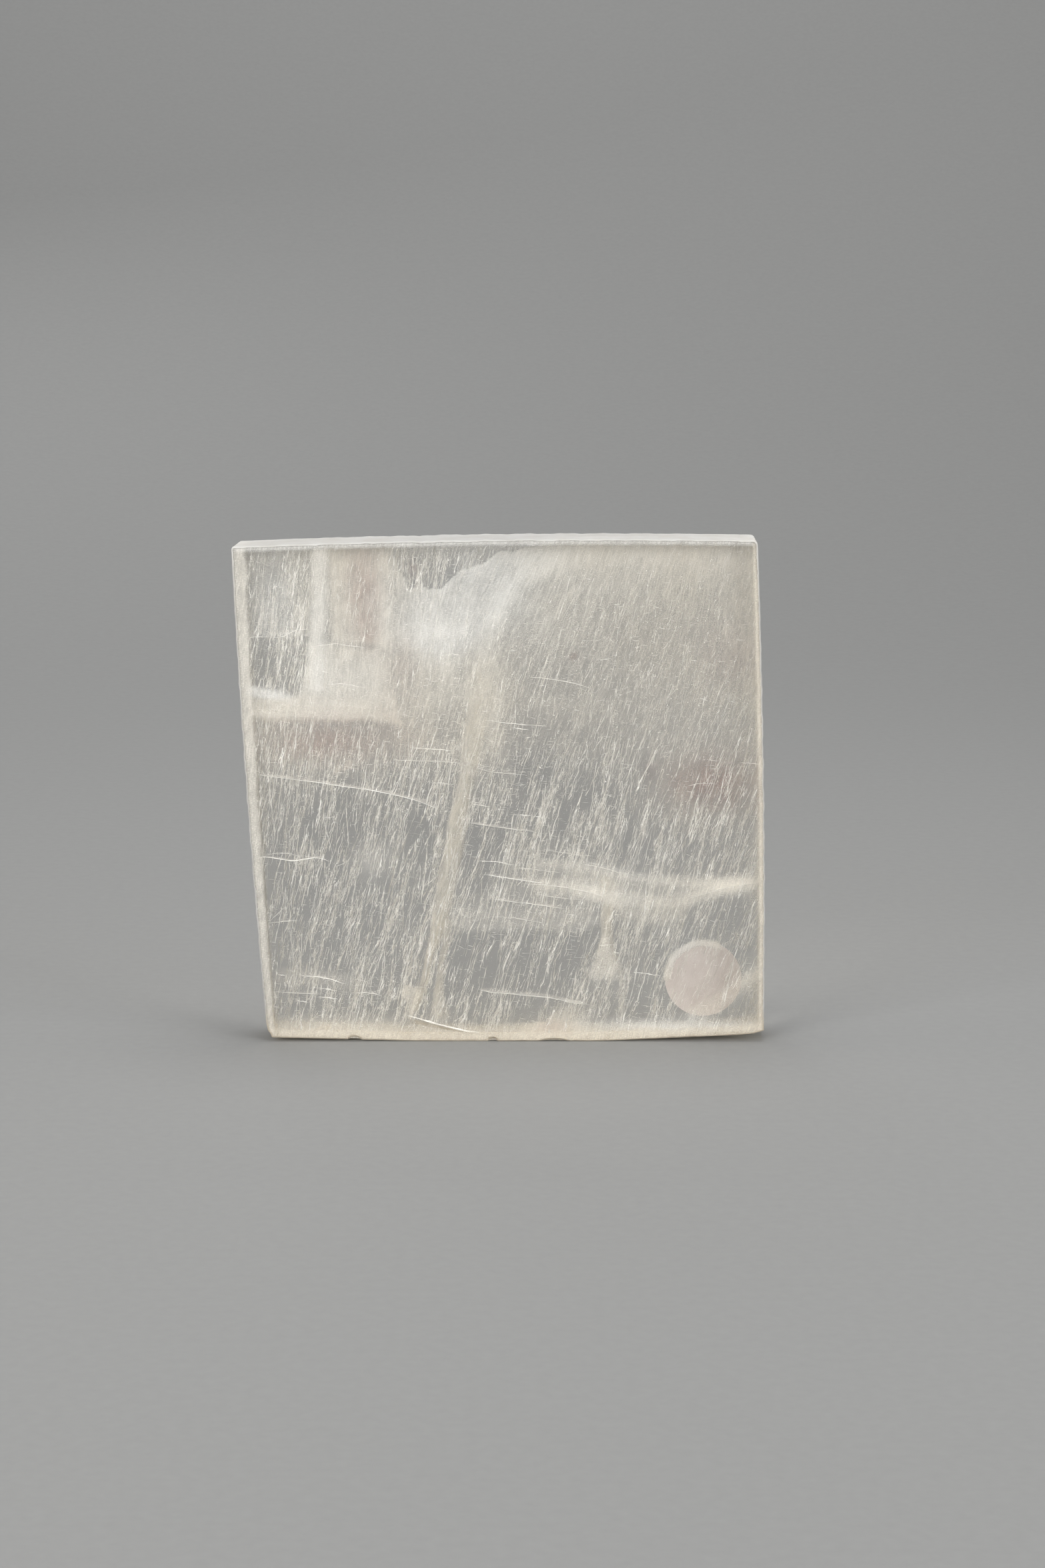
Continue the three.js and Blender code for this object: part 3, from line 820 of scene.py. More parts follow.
MIDDLE_CLOUDS = clouds(
    patch(BOX, 2.2, 1),
    (-21, 76.5, 8, 5, -35, 0.4),
    patch(((-41.4, 66.2), (-40, 66.6), (-39.8, 67.3), (-38, 67.5), (-36.6, 67.9), (-36.4, 69.6), (-37.6, 70),
        (-38.4, 68.8), (-40.6, 68.6)), 0.6, 0.5),
    patch(BESIDE_THE_BOX, 8, 0.5),
    patch(PINK_PANEL, 2.4, 0.95),
    band(((-28.4, 122), (-28, 112), (-28.3, 104), (-28.8, 97)), 0.4, 2, 0.5),
    (-55, 108, 13, 20, 0, 0.62), (-62.5, 78, 6, 16, 0, 0.35), (-37, 123, 8, 5, 0, 1),
    (-53, 124.5, 10, 4, 0, 0.5), (-16, 97, 9, 8, 0, 0.35),
    patch(((-30.5, 126), (-27.2, 126), (-26.6, 120.5), (-25.4, 117), (-23.6, 113), (-26, 109), (-30.5, 109)),
        0.8, 0.4),
    (-44, 74, 14, 5, -4, 0.32), (-4, 79, 6, 12, -8, 0.35), (64, 100, 7, 30, 0, 0.3),
    band(((-57, 15.6), (-48, 15.2), (-40, 14.4), (-33, 12.2)), 0.8, 2.4, 0.22),
    patch(((27, 35), (46.5, 34.5), (45, 30.4), (40, 28.9), (30, 30), (26.5, 33)), 3.6, 0.4),
    band(((29.6, 18), (29.7, 11.2), (29.7, 2.4)), 0.3, 0.8, 0.3),
)  # fmt: skip
ARC_CLOUDS = clouds(
    patch(MILKY_CORE, 6, 0.44),
    (36, 117, 34, 8, 0, 0.4), (36, 124.4, 44, 5.5, 0, 1.25), (62, 122, 9, 6, 0, 0.4),
    (63, 104, 7, 24, 0, 0.35), (11, 106, 12, 11, 0, 0.38), (52, 103, 20, 26, 0, 0.2),
    (-15, 105, 12, 9, 0, 0.42), (-15.4, 101.7, 5, 1.8, 0, 0.7), (-15.2, 101.7, 0.9, 1.1, 0, 2.5),
    (-0.2, 107.5, 1.4, 2.6, -35, 0.9),
    band(((-3, 103), (0.2, 108.7), (4.5, 114.7), (10.8, 119.4), (20, 122.4)), 0.8, 3.6, 0.35),
    (50, 120.5, 9, 5, 0, 0.3), (30, 106, 36, 16, 0, 0.06),
    band(((48.4, 79.1), (51.2, 89.8), (53.9, 99.7), (55.4, 112.7), (57.4, 121.7)), 1, 4.5, 0.12),
    (-3.5, 89, 4.5, 12, 0, 0.5), (12, 84, 14, 3, -4, 0.16),
)  # fmt: skip
# A painted highlight: a band of white cloud in the back film along the upper left of the label's rim,
# standing in for the light that catches the rim there.
LABEL_HIGHLIGHT_TURNS = np.radians([60, 85, 110, 135, 160, 185])
PAINTED_HIGHLIGHT_ON_LABEL_RIM = LABEL_CENTRE + SEEN_RADIUS_OF_LABEL * columned(np.cos(LABEL_HIGHLIGHT_TURNS), np.sin(LABEL_HIGHLIGHT_TURNS))
BACK_CLOUDS = clouds(
    (-36, 112, 9, 12, 0, 0.2), (-40, 73, 18, 6, 0, 0.12), (38, 100, 34, 24, 0, 0.1),
    (30, 82, 34, 10, 0, 0.06), (*RUSTY_PATCH, 12, 7.5, 0, 0.75), (-42, 74.5, 17, 5, 0, 0.25),
    # The painted highlight along the label's upper-left rim.
    band(PAINTED_HIGHLIGHT_ON_LABEL_RIM, 0.3, 0.9, 1.5),
)  # fmt: skip
# Where the films are a rusty pink, and where they are white and not cream. The white is also brighter than
# the cream, which paints light where it lies, most of it high up.
BLUSHES = clouds(
    (-33.5, 112, 4, 11, 0, 0.52), (-31.9, 102.3, 2.5, 4.5, 0, 0.36), (-42, 74.5, 18, 6.5, 0, 0.65),
    (-24, 92, 4, 8, 0, 0.25), (*RUSTY_PATCH, 13, 8, 0, 0.9), (36.3, 66.7, 2, 2.6, 0, 0.5),
    (-21.3, 116.9, 0.9, 1.7, 0, 1), (17.6, 95.6, 1, 0.9, 25, 1), (12.6, 2.8, 5, 2.6, 0, 0.3),
    (56, 96, 8, 8, 0, 0.3), (-63, 80, 1.5, 6, 0, 0.5),
)  # fmt: skip
COOL_SPOTS = clouds(
    (-8, 110, 20, 12, 15, 1), (-15, 101, 8, 6, 0, 0.6), (-55, 105, 8, 18, 0, 0.8),
    (-57, 87.2, 6, 1.6, 0, 1.2), (35, 46, 12, 4, 0, 0.4), (42, 4, 20, 2, 0, 1), (-40, 40, 22, 24, 0, 0.3),
    (-22, 10, 4, 8, 0, -0.6), (12.5, 4, 9, 5, 0, -0.6), (-40, 90, 12, 10, 0, 0.4), (-44, 106, 3, 18, 0, 0.4),
    # The last spot here whitens the painted highlight on the label's upper-left rim.
    (54, 10, 10, 7, 0, -0.4), (46, 20, 7, 6, 0, 1),
)  # fmt: skip


def bruise(x, z, seed):
    """The crushed crystal just inside the sawn sides: thickest at the side and gone a few millimetres in,
    with an uneven inner edge."""
    left, right, top, bottom = edge_depth(x, z)
    uneven = 0.55 + 0.9 * lumps(x, z, 3.1, seed) * lumps(x, z, 9.0, seed + 1) * 2
    total = 0.0
    for depth, reach, amount in ((left, 1.2, 0.15), (right, 1.2, 0.3), (top, 1.2, 0.3), (bottom, 1.6, 0.2)):
        total = total + amount * np.exp(-np.clip(depth, 0.0, None) / (reach * uneven))
    return total


# For each side, how far in the crushed crystal is whole at the foot and at the top of the slab, how far it
# takes to fade, how cloudy it is and how warm.
CRUSHED_SIDES = (
    (0.2, 1.6, 1.1, 0.72, 0.6),  # left
    (0.6, 0.6, 1.0, 1.1, 1.0),  # right
    (0.3, 0.3, 1.5, 1.1, 0.1),  # top
    (1.2, 1.2, 2.0, 0.6, 1.0),  # bottom
)


def crushed_rims(material):
    """The crushed crystal along the arrises: one strip just under each face, made of rings that follow the
    outline inwards. Its cloud is whole for some way in from each side and then fades, with an uneven edge."""
    first, reach, rings, under = 0.3, 6.0, 19, 0.3
    points, faces, cloud, warmth, grain = [], [], [], [], []
    front = front_outline()
    for number, (outline, y) in enumerate(((front, FRONT_Y + under), (leaned(front), BACK_Y - under))):
        count = len(outline)
        inset = first + reach * np.linspace(0.0, 1.0, rings)[:, None, None] ** 1.2
        flat = outline + inset * inwards(outline)
        x, z = np.concatenate([flat, flat[:, :1]], axis=1).transpose(2, 0, 1)
        uneven = 0.8 + 0.4 * lumps(x, z, 3.3, 501 + number) + 0.2 * (lumps(x, z, 0.6, 503 + number) - 0.5)
        total = tint = 0.0
        for depth, (foot, head, fade, amount, warm) in zip(edge_depth(x, z), CRUSHED_SIDES):
            whole = foot + (head - foot) * z / HEIGHT
            share = amount * ease((whole * uneven + fade - depth) / fade)
            total, tint = total + share, tint + share * warm
        points.append(columned(x, np.full(x.size, y), z))
        faces.append(grid_faces(rings, count + 1) + number * x.size)
        cloud.append(total.ravel())
        warmth.append((tint / np.maximum(total, 1e-6)).ravel())
        grain.append(columned(grain_across(x, z), z))
    points, faces, grain = np.vstack(points), np.vstack(faces), np.vstack(grain)
    new_film("crushed_rims", points, faces, material, grain, np.concatenate(cloud), np.concatenate(warmth))


def thinned(x, z, left, floor):
    """1 in most places, less in the rusty patch and in front of the label, and little in the narrow gaps.
    left and floor are how much is taken away in the two windows at the left and in the two by the column and
    the floor."""
    value = np.ones(np.shape(x))
    for (window, _), amount in zip(WINDOWS, (left, left, floor, floor)):
        value = value * (1 - amount * (inside(window, x, z) > 0))
    for gap in GAPS:
        value = value * (1 - glow(*gap, 0.93)(x, z))
    value = value * (1 - glow(*RUSTY_PATCH, 10.0, 6.0, 0, 0.5)(x, z))
    return value * (1 - glow(*LABEL_CENTRE, 9.0, 9.0, 0, 0.65)(x, z))


def cloud_sheet(name, depth, films, silkiness, material, seed, arc_films=()):
    """One cloudy film, nearly parallel to the faces. It is a grid over the slab, from side to side at each
    height, at its depth plus slow waves. It has its own clouds, less of them in the clear windows, the
    bruised rim, and some silk. arc_films are cut off at the sharp arc, which has a bright edge."""
    rows, columns = 236, 250
    v, u = np.meshgrid(np.linspace(0.0, 1.0, rows), np.linspace(0.0, 1.0, columns), indexing="ij")
    rim = 0.45
    left, right = side_limits(v * HEIGHT)
    x = left + rim + u * (right - left - 2 * rim)
    z = bottom_limit(x) + rim + v * (top_limit(x) - bottom_limit(x) - 2 * rim)
    waves = 0.35 * np.sin(x / 17.0 + seed) * np.sin(z / 23.0 + 2 * seed)
    y = depth + waves + 0.25 * (lumps(x, z, 13.0, seed) - 0.5)
    ragged_x = x + 0.4 * (lumps(x, z, 1.9, seed + 11) - 0.5)
    ragged_z = z + 0.4 * (lumps(x, z, 1.7, seed + 12) - 0.5)
    cloud = summed(films, ragged_x, ragged_z)
    if arc_films:
        from_arc = inside(UNDER_THE_ARC, x, z + 0.5 * (lumps(x, z, 1.1, seed + 13) - 0.5))
        milky = 0.06 * ease((z - 44.0) / 34.0) * ease((x + 8.0) / 12.0 + (z - 90.0) / 14.0)
        milky = milky + summed(arc_films, x, z) + 0.8 * np.exp(-np.abs(from_arc) / 0.3) * (z > 97)
        cloud = cloud + milky * ease(from_arc / 0.4 + 0.5)
    for window, amount in WINDOWS:
        cloud = cloud * (1 - amount * ease(inside(window, ragged_x, ragged_z) + 0.5))
    cloud = cloud + bruise(x, z, seed + 7)
    streaky = silkiness * summed(SILKY_PLACES, x, z) * (0.25 + 0.75 * gathered(x, z))
    streaky = streaky * thinned(x, z, left=0.3, floor=0.7)
    warmth = 0.75 - summed(COOL_SPOTS, x, z) + 0.3 * (lumps(x, z, 11.0, seed + 9) - 0.5)
    blush = summed(BLUSHES, x, z) * (0.7 + 0.6 * lumps(x, z, 2.5, seed + 3))
    points, grain = columned(x, y, z), columned(grain_across(x, z), z)
    cloud, warmth = np.clip(cloud, 0.0, 4.0), np.clip(warmth, 0.0, 1.0)
    new_film(name, points, grid_faces(rows, columns), material, grain, cloud, warmth, streaky, blush)


# ---- fractures that cross the thickness ----

COLUMN_FRONT = (
    (-9, 98), (-8.8, 90), (-8.4, 85), (-9, 80), (-9.9, 75), (-10.1, 70), (-10.7, 65), (-12, 60), (-13.4, 55),
    (-14.1, 50), (-14.9, 45), (-15.9, 40), (-16.9, 35), (-17.6, 30), (-18.4, 25), (-19.4, 20), (-20.2, 15),
    (-21.5, 12), (-22.6, 8), (-22.8, 5.8),
)  # fmt: skip
COLUMN_BACK = (
    (-1, 96.6), (-0.6, 88.6), (-1.6, 83.6), (-3.2, 78.6), (-4.5, 73.6), (-5, 68.6), (-6.3, 63.6),
    (-7.4, 58.6), (-8.3, 53.6), (-9, 48.6), (-9.8, 43.6), (-11, 38.6), (-12, 33.6), (-12.8, 28.6),
    (-14.9, 23.6), (-17, 18.6), (-18, 13.6), (-18.9, 10.6), (-20.5, 6.6), (-21.4, 4.4),
)  # fmt: skip
COLUMN_CLOUD = (0.05, 0.4, 0.8, 1.1, 1.2, 1.15, 1.05, 0.9, 0.85, 0.95, 0.85)
STRAND_FRONT = ((-14.4, 32), (-14.7, 25), (-15.8, 20), (-16.5, 15), (-17, 12), (-17.4, 8), (-17.8, 4))
STRAND_BACK = ((-12, 30.6), (-12.8, 23.6), (-14, 18.6), (-14.3, 13.6), (-14.5, 10.6), (-13, 6.6), (-12.4, 3))
LENS_FRONT = (
    (6, 39.8), (13, 39.2), (20, 38), (26, 36.3), (33, 35.6), (42, 35.5), (48, 36.2), (52, 37.8), (57, 39),
    (64.4, 39.8),
)  # fmt: skip
LENS_BACK = (
    (6, 44), (15, 43.4), (21, 43.1), (25, 42.2), (30, 40.6), (37, 39.6), (45, 39.1), (52, 39.2), (58, 39.4),
    (64.3, 40),
)  # fmt: skip
STUB_FRONT = ((24.2, 43), (24, 36), (24.3, 28), (24, 24), (22.8, 20.5), (21.8, 17.5), (22.4, 15.4))
STUB_BACK = ((27.9, 41.6), (28, 34.6), (27.8, 26.6), (28.2, 22.6), (29.8, 19.1), (30.2, 16.6), (29.6, 13.8))
LEFT_BAND_FRONT = ((-42.8, 124), (-43, 112.7), (-43.4, 104.6), (-45, 96.4), (-46.6, 88))
LEFT_BAND_BACK = ((-45.2, 123), (-45.5, 111.5), (-46.2, 103.4), (-47.2, 95.2), (-48.2, 87.4))
SHELF_FRONT = ((-62.2, 81.3), (-57.3, 81), (-49.1, 80.7), (-41, 80.6), (-31.3, 80.6), (-27.4, 79.8))
SHELF_BACK = ((-61, 87.9), (-57.3, 86.6), (-52, 85.2), (-49, 85.4), (-44, 85.6), (-30, 84.6))
FLOOR_FRONT = ((-23.3, 6.2), (-19.7, 5.3), (-14.8, 3.8), (-10, 2.6), (-3.7, 1.5))
FLOOR_BACK = ((-23.3, 3.6), (-19.7, 2.9), (-14.8, 2.1), (-10, 1.4), (-3.7, 0.9))

# Each fracture is a skin between a line near the front and a line further back: both lines as X and Z, where
# it starts and ends in depth, how cloudy it is at equal steps along it, how warm, and how patchy.
FRACTURES = (
    (COLUMN_FRONT, COLUMN_BACK, -5.7, 5.4, COLUMN_CLOUD, 0.9, 0.9),
    (STRAND_FRONT, STRAND_BACK, -5.0, 4.6, (0.6, 0.8, 0.8, 0.6), 0.9, 0.6),
    (LENS_FRONT, LENS_BACK, -5.7, 5.4, (0.1, 0.1, 0.25, 0.25, 0.1, 0.1, 0.3, 0.5, 0.5), 0.65, 0.7),
    (STUB_FRONT, STUB_BACK, -4.8, 4.6, (0.5, 0.9, 1.1, 0.9, 0.45, 0.15), 0.95, 1.0),
    (LEFT_BAND_FRONT, LEFT_BAND_BACK, -4.6, 4.8, (0.35, 0.35), 0.6, 0.6),
    (SHELF_FRONT, SHELF_BACK, -5.4, 5.2, (0.3, 0.3), 0.6, 0.8),
    (FLOOR_FRONT, FLOOR_BACK, -5.7, -0.5, (1.6, 1.6), 0.9, 0.5),
)

# Cracks, most of them nearly level, that end at the front: the line of the end as X and Z, how deep the crack
# runs in, and how cloudy it is.
CRACKS = (
    (((-60, 67), (-50, 65.8), (-40, 64.3), (-30, 62.8), (-22, 61), (-15, 58.4)), 9, 0.5),
    (((-60, 46.6), (-56, 46.2), (-51, 45.5), (-46, 46.3), (-43.6, 46), (-42, 45.2)), 5, 0.55),
    (((-58, 47), (-53, 47.4), (-49, 46.4)), 3, 0.3), (((-42, 45.2), (-41.3, 47)), 1, 0.2),
    (((-41.3, 47), (-43.6, 56.2)), 1, 0.4), (((-43.6, 56.2), (-40.8, 56.5)), 1, 0.4),
    (((-41.5, 66.2), (-40.1, 66.7), (-39.9, 67.4), (-38, 67.6)), 1, 0.3),
    (((-8.2, 55.1), (-1.2, 54), (9, 52.7)), 6, 0.45), (((-7.5, 59.8), (-2.6, 59)), 3, 0.45),
    (((6.5, 91.2), (13, 90.5), (19, 89.2), (22, 88.2)), 3, 0.5), (((2.7, 78.6), (6.8, 78.1)), 3, 0.4),
    (((2, 57.2), (10.4, 56.4)), 3, 0.35), (((-4.6, 42.2), (1.2, 41.2), (10.4, 40)), 7, 0.5),
    (((5, 39.8), (13, 39.2), (20, 38), (26, 36.3)), 4, 0.3), (((20, 44.6), (25, 43.7), (30, 42.2)), 4, 0.2),
    (((46, 36.2), (52, 37.8), (57, 39)), 4, 0.2), (((-2.7, 35.9), (7.8, 34.6), (16, 33.4)), 7, 0.4),
    (((3, 43.6), (9, 43.2), (14.6, 42.4)), 5, 0.35), (((8, 37.2), (13.5, 36.3), (19.5, 35.8)), 5, 0.3),
    (((-6, 45.6), (-1, 45.2), (3.4, 44.4)), 4, 0.3), (((10, 48.4), (16, 47.4), (23, 46.6)), 5, 0.25),
    (((-3, 31.6), (4, 31), (10, 30)), 5, 0.25), (((-57.5, 29.8), (-50, 30.6)), 4, 0.4),
    (((-57, 30.3), (-53.2, 34)), 3, 0.3), (((-55.2, 16.8), (-53.4, 16.6)), 3, 0.55),
    (((-49.4, 16.5), (-44, 16), (-38.6, 14.4)), 5, 0.5), (((-45.2, 11.2), (-40.4, 10.7)), 5, 0.5),
    (((-45.6, 13.4), (-40.6, 12.8)), 4, 0.4), (((-50.5, 10.2), (-47.9, 9.7)), 3, 0.5),
    (((-57, 12.6), (-50, 12), (-44, 11.9)), 5, 0.3), (((-36.5, 12), (-33, 12.2), (-29.5, 11.4)), 4, 0.4),
    (((-35, 11.2), (-30.2, 12.8)), 3, 0.35),
    (((-6.4, 13.2), (-2.1, 12.3), (5.2, 11.6), (12.4, 10.8), (18.2, 9.6), (22, 9.2)), 8, 0.55),
    (((33, 17.4), (39.4, 16.5)), 3, 0.35),
    (((-61.3, 94), (-61.2, 99.4), (-60.3, 100.9), (-55.6, 100.9)), 2, 0.35),
    (((-55.6, 100.9), (-53, 101), (-49.8, 102.5), (-46.5, 102.8)), 3, 0.35),
    (((-46, 98.4), (-40.6, 99.2), (-38, 99), (-32.5, 98.3)), 1, 0.2),
    (((-42.4, 89.3), (-38.4, 89.4), (-36, 89), (-32.6, 88.2)), 1, 0.2), (((-22, 73.6), (-11, 72.9)), 6, 0.4),
    (((-26, 70.6), (-14, 70.2), (-9.8, 69.9)), 6, 0.42), (((-17.5, 65), (-11, 64.6)), 6, 0.4),
    (((-4, 80.6), (3, 79.6), (11, 79)), 5, 0.3), (((-6, 68.4), (0, 67.4), (6, 67)), 4, 0.25),
    (((45.5, 64.2), (49, 64.8), (52, 64.7)), 2, 0.3), (((58, 70), (63.8, 69.6)), 3, 0.3),
    (((-23.5, 6.4), (-19.7, 5.4), (-14.8, 3.9), (-10, 2.7), (-5, 1.9)), 2, 1.3),
)  # fmt: skip
SHORT_REACH = 1.5  # a crack that runs in no further than this has no skin, only its bright line
CRACK_FALL = 0.02  # how much a crack drops for each millimetre that it runs in
CRACK_START = -5.5  # where cracks start in depth
CRACK_WARMTH, CRACK_PATCHINESS = 0.4, 1.3
# The share of the cloud that is lost by the far end in depth, and the share of the depth that it takes to
# fade in and out.
FRACTURE_FADE, CRACK_FADE = (0.25, 0.24), (1.0, 0.001)


def fracture_skins(material):
    """All slanted fractures and the level cracks that run in far enough, as one piece. Each is a grid between
    its two lines, bellied out by slow waves. Its cloud fades towards the ends of the lines and in depth, and
    comes and goes in patches. Its grain runs along it."""
    points, faces, cloud, warmth, grain = [], [], [], [], []
    skins = [(*skin, *FRACTURE_FADE) for skin in FRACTURES]
    for line, reach, amount in CRACKS:
        back = [(x, z - CRACK_FALL * reach) for x, z in line]
        if reach > SHORT_REACH:
            depths = (CRACK_START, CRACK_START + reach)
            skins.append((line, back, *depths, (amount, amount), CRACK_WARMTH, CRACK_PATCHINESS, *CRACK_FADE))
    total = 0
    for number, (front, back, start_y, end_y, amounts, warm, patchy, lost, soft) in enumerate(skins):
        length = np.linalg.norm(np.diff(np.array(front), axis=0), axis=1).sum()
        rows, columns = max(8, round(length / 0.45)), 15
        a, b = smoothed(front, rows), smoothed(back, rows)
        t, s = np.linspace(0.0, 1.0, columns)[None, :], np.linspace(0.0, 1.0, rows)[:, None]
        x = a[:, :1] * (1 - t) + b[:, :1] * t
        z = a[:, 1:] * (1 - t) + b[:, 1:] * t
        belly = np.sin(np.pi * t) * (lumps(s * length, t * THICKNESS, 5.0, 300 + number) - 0.5)
        x, z = x + 0.5 * belly, z + 0.35 * belly
        y = start_y + (end_y - start_y) * t + 0.0 * s
        amount = np.interp(s, np.linspace(0.0, 1.0, len(amounts)), amounts)
        patches = 1.0 + patchy * (lumps(s * length, t * THICKNESS, 3.3, 400 + number) - 0.5)
        ends = ease(s * length / 3.0) * ease((1 - s) * length / 3.0)
        deep = (1 - lost * t**1.5) * (0.15 + 0.85 * ease(t / soft)) * (0.15 + 0.85 * ease((1 - t) / soft))
        points.append(columned(x, y, z))
        faces.append(grid_faces(rows, columns) + total)
        cloud.append((amount * patches * ends * deep).ravel())
        warmth.append(np.full(x.size, warm))
        grain.append(columned(40.0 * number + y, s * length + 0.0 * t))
        total += x.size
    points, faces, grain = np.vstack(points), np.vstack(faces), np.vstack(grain)
    new_film("fracture_skins", points, faces, material, grain, np.concatenate(cloud), np.concatenate(warmth))


# ---- threads, fibres and sparks ----

ANY_TURN = 6.3  # radians, one whole turn and a little


def needles(name, material, random, paths, radii):
    """A piece of spindles along paths, each with its own turn."""
    points, faces = spindles(paths, radii, random.random(len(paths)) * ANY_TURN)
    new_piece(name, points, faces, [material], smooth=False)


def crack_threads(material):
    """The bright lines where cracks end just under the front: a thin spindle along each crack's line, with a
    little wander, thinning out at both ends."""
    random = np.random.default_rng(71)
    stations = 26
    paths, radii = [], []
    for line, _, amount in CRACKS:
        flat = smoothed(line, stations)
        wander = 0.22 * (lumps(np.arange(stations), len(paths) * 7.0, 3.0, 72) - 0.5)
        depth = FRONT_Y + 0.75 + 0.5 * random.random() + 0.1 * np.sin(np.arange(stations) / 4.0)
        paths.append(np.column_stack([flat[:, 0], depth, flat[:, 1] + wander]))
        taper = np.sin(np.pi * np.linspace(0.0, 1.0, stations)) ** 0.5
        uneven = 0.5 + lumps(np.arange(stations), len(paths) * 5.0, 2.0, 73)
        radii.append(0.17 * max(amount, 0.3) * taper * uneven)
    needles("crack_threads", material, random, np.array(paths), np.array(radii))


CLEAR_OF_SIDES = 0.6  # from the middle of a fibre or a dash to the nearest side, at least
ENDS_CLEAR_OF_SIDES = 0.35  # from the ends of a fibre, at least
MORE_IN_FRONT = 0.1  # how much nearer to the front they all lie than they would if they were centred


def scatter(random, count, weight, deepest):
    """count random places in the slab, more of them where weight is high: a place is kept if its weight beats
    a random number. They lie up to about deepest from the middle plane."""
    kept = np.zeros((0, 3))
    while len(kept) < count:
        first = [-WIDTH / 2, -deepest - MORE_IN_FRONT, 0.0]
        tries = random.random((count * 2, 3)) * [WIDTH, 2 * deepest, HEIGHT] + first
        margins = np.min(edge_depth(tries[:, 0], tries[:, 2]), axis=0)
        good = (margins > CLEAR_OF_SIDES) & (random.random(len(tries)) < weight(tries[:, 0], tries[:, 2]))
        kept = np.vstack([kept, tries[good]])
    return kept[:count]


def clear_strip(x, z):
    """1 in the clear strip between the top edge and the arc, and 0 elsewhere."""
    return (inside(UNDER_THE_ARC, x, z) < 0) * (z > 95) * (x > -27) * 1.0


def long_weight(x, z):
    """Long fibres: most on the left, in the lower half and in the clear strip, and few in the box."""
    low = 0.2 + 0.8 * ease((78.0 - z) / 18.0)
    left = ease((-41.0 - x) / 8.0)
    most = np.maximum(np.maximum(low, left), clear_strip(x, z))
    box = ease(inside(BOX, x, z) / 1.5 + 0.5)
    return most * thinned(x, z, left=0.0, floor=0.1) * (1 - 0.8 * box)


def lower_weight(x, z):
    """The same, but only half as many outside the two windows at the left and the clear strip."""
    windows = sum((inside(each, x, z) > 0) * 1.0 for each in (UPPER_LEFT_WINDOW, LOWER_LEFT_WINDOW))
    return long_weight(x, z) * (0.5 + 0.5 * windows + 0.5 * clear_strip(x, z))


BRIGHT_CLOUD = glow(-13.0, 104.0, 15.0, 12.0, 0, 1.0)


def middling_weight(x, z):
    """Middling fibres: everywhere, thinner in the windows and in the bright cloud."""
    return thinned(x, z, left=0.3, floor=0.45) * (1 - 0.6 * BRIGHT_CLOUD(x, z))


def short_weight(x, z):
    """Short fibres: more to the right, and thinner in the windows."""
    return thinned(x, z, left=0.7, floor=0.65) * (0.45 + 0.55 * ease((x + 35.0) / 60.0))


def bundled(weight):
    """A weight that is high only where the fibres are gathered."""
    return lambda x, z: weight(x, z) * (0.06 + 0.94 * gathered(x, z))


def fibre_paths(random, centre, size, stations, own_turn, wave, seed):
    """Paths that run along the grain, each size long. A path takes the lean at its centre plus a small turn
    of its own. It is swayed by waves that its neighbours share, and by a random walk of its own."""
    count = len(centre)
    turn = np.radians(lean_degrees(centre[:, 0], centre[:, 2]) + random.normal(0.0, own_turn, count))
    tilt = np.radians(random.normal(0.0, 3.0, count))
    way = np.column_stack([np.sin(turn), np.sin(tilt), np.cos(turn) * np.cos(tilt)])
    across = np.column_stack([np.cos(turn), np.zeros(count), -np.sin(turn)])
    at = np.linspace(-0.5, 0.5, stations) * size[:, None]
    shared = 0.28 * (lumps(centre[:, :1] * 1.3, centre[:, 2:] + at, 3.1, seed + 60) - 0.5)
    shared = shared + 0.18 * (lumps(centre[:, :1] * 2.0, centre[:, 2:] + at, 1.2, seed + 61) - 0.5)
    walk = np.cumsum(random.normal(0.0, wave, (count, stations)), axis=1) * (size[:, None] / stations) ** 0.5
    walk = walk + random.normal(0.0, 0.6 * wave, (count, stations))
    sway = shared - shared.mean(1, keepdims=True) + walk - walk.mean(1, keepdims=True)
    return centre[:, None] + at[..., None] * way[:, None] + sway[..., None] * across[:, None]


def fibres(name, material, count, stations, weight, length, radius, seed, forked=0.0, own_turn=5.5):
    """Fine fibres as spindles. length and radius are each a low and a high value, and short and thin ones are
    the most common. A share of them are forks: a twin that starts at the same top and parts from it on its
    way down. They are thinner to the upper right and thicker to the lower left. A fibre is beaded, as its
    radius changes from station to station. Returns the stations, for the sparks."""
    random = np.random.default_rng(seed)
    own = round(count / (1 + forked))
    centre = scatter(random, own, bundled(weight), 5.3)
    size = length[0] + (length[1] - length[0]) * random.random(own) ** 1.9
    paths = fibre_paths(random, centre, size, stations, own_turn, 0.07, seed)
    twins = paths[: count - own].copy()
    parting = np.linspace(1.0, 0.0, stations)[None, :] ** 1.3
    twins[:, :, 0] += parting * random.normal(0.0, 0.9, (len(twins), 1))
    paths = np.concatenate([paths, twins])
    ends = paths[:, [0, -1]]
    margins = np.min([np.min(edge_depth(ends[:, k, 0], ends[:, k, 2]), axis=0) for k in range(2)], axis=0)
    paths = paths[margins > ENDS_CLEAR_OF_SIDES]
    thick = radius[0] + (radius[1] - radius[0]) * random.random(len(paths)) ** 2.0
    middle = paths[:, stations // 2]
    thick = thick * (1 - 0.42 * ease((middle[:, 2] - 62.0) / 20.0) * ease((middle[:, 0] + 8.0) / 14.0))
    thick = thick * (1 + 0.15 * ease((62.0 - middle[:, 2]) / 10.0) * ease((0.0 - middle[:, 0]) / 20.0))
    beaded = 0.35 + 1.6 * random.random((len(paths), stations)) ** 2.2
    needles(name, material, random, paths, thick[:, None] * beaded)
    return paths[:, 1:-1].reshape(-1, 3)


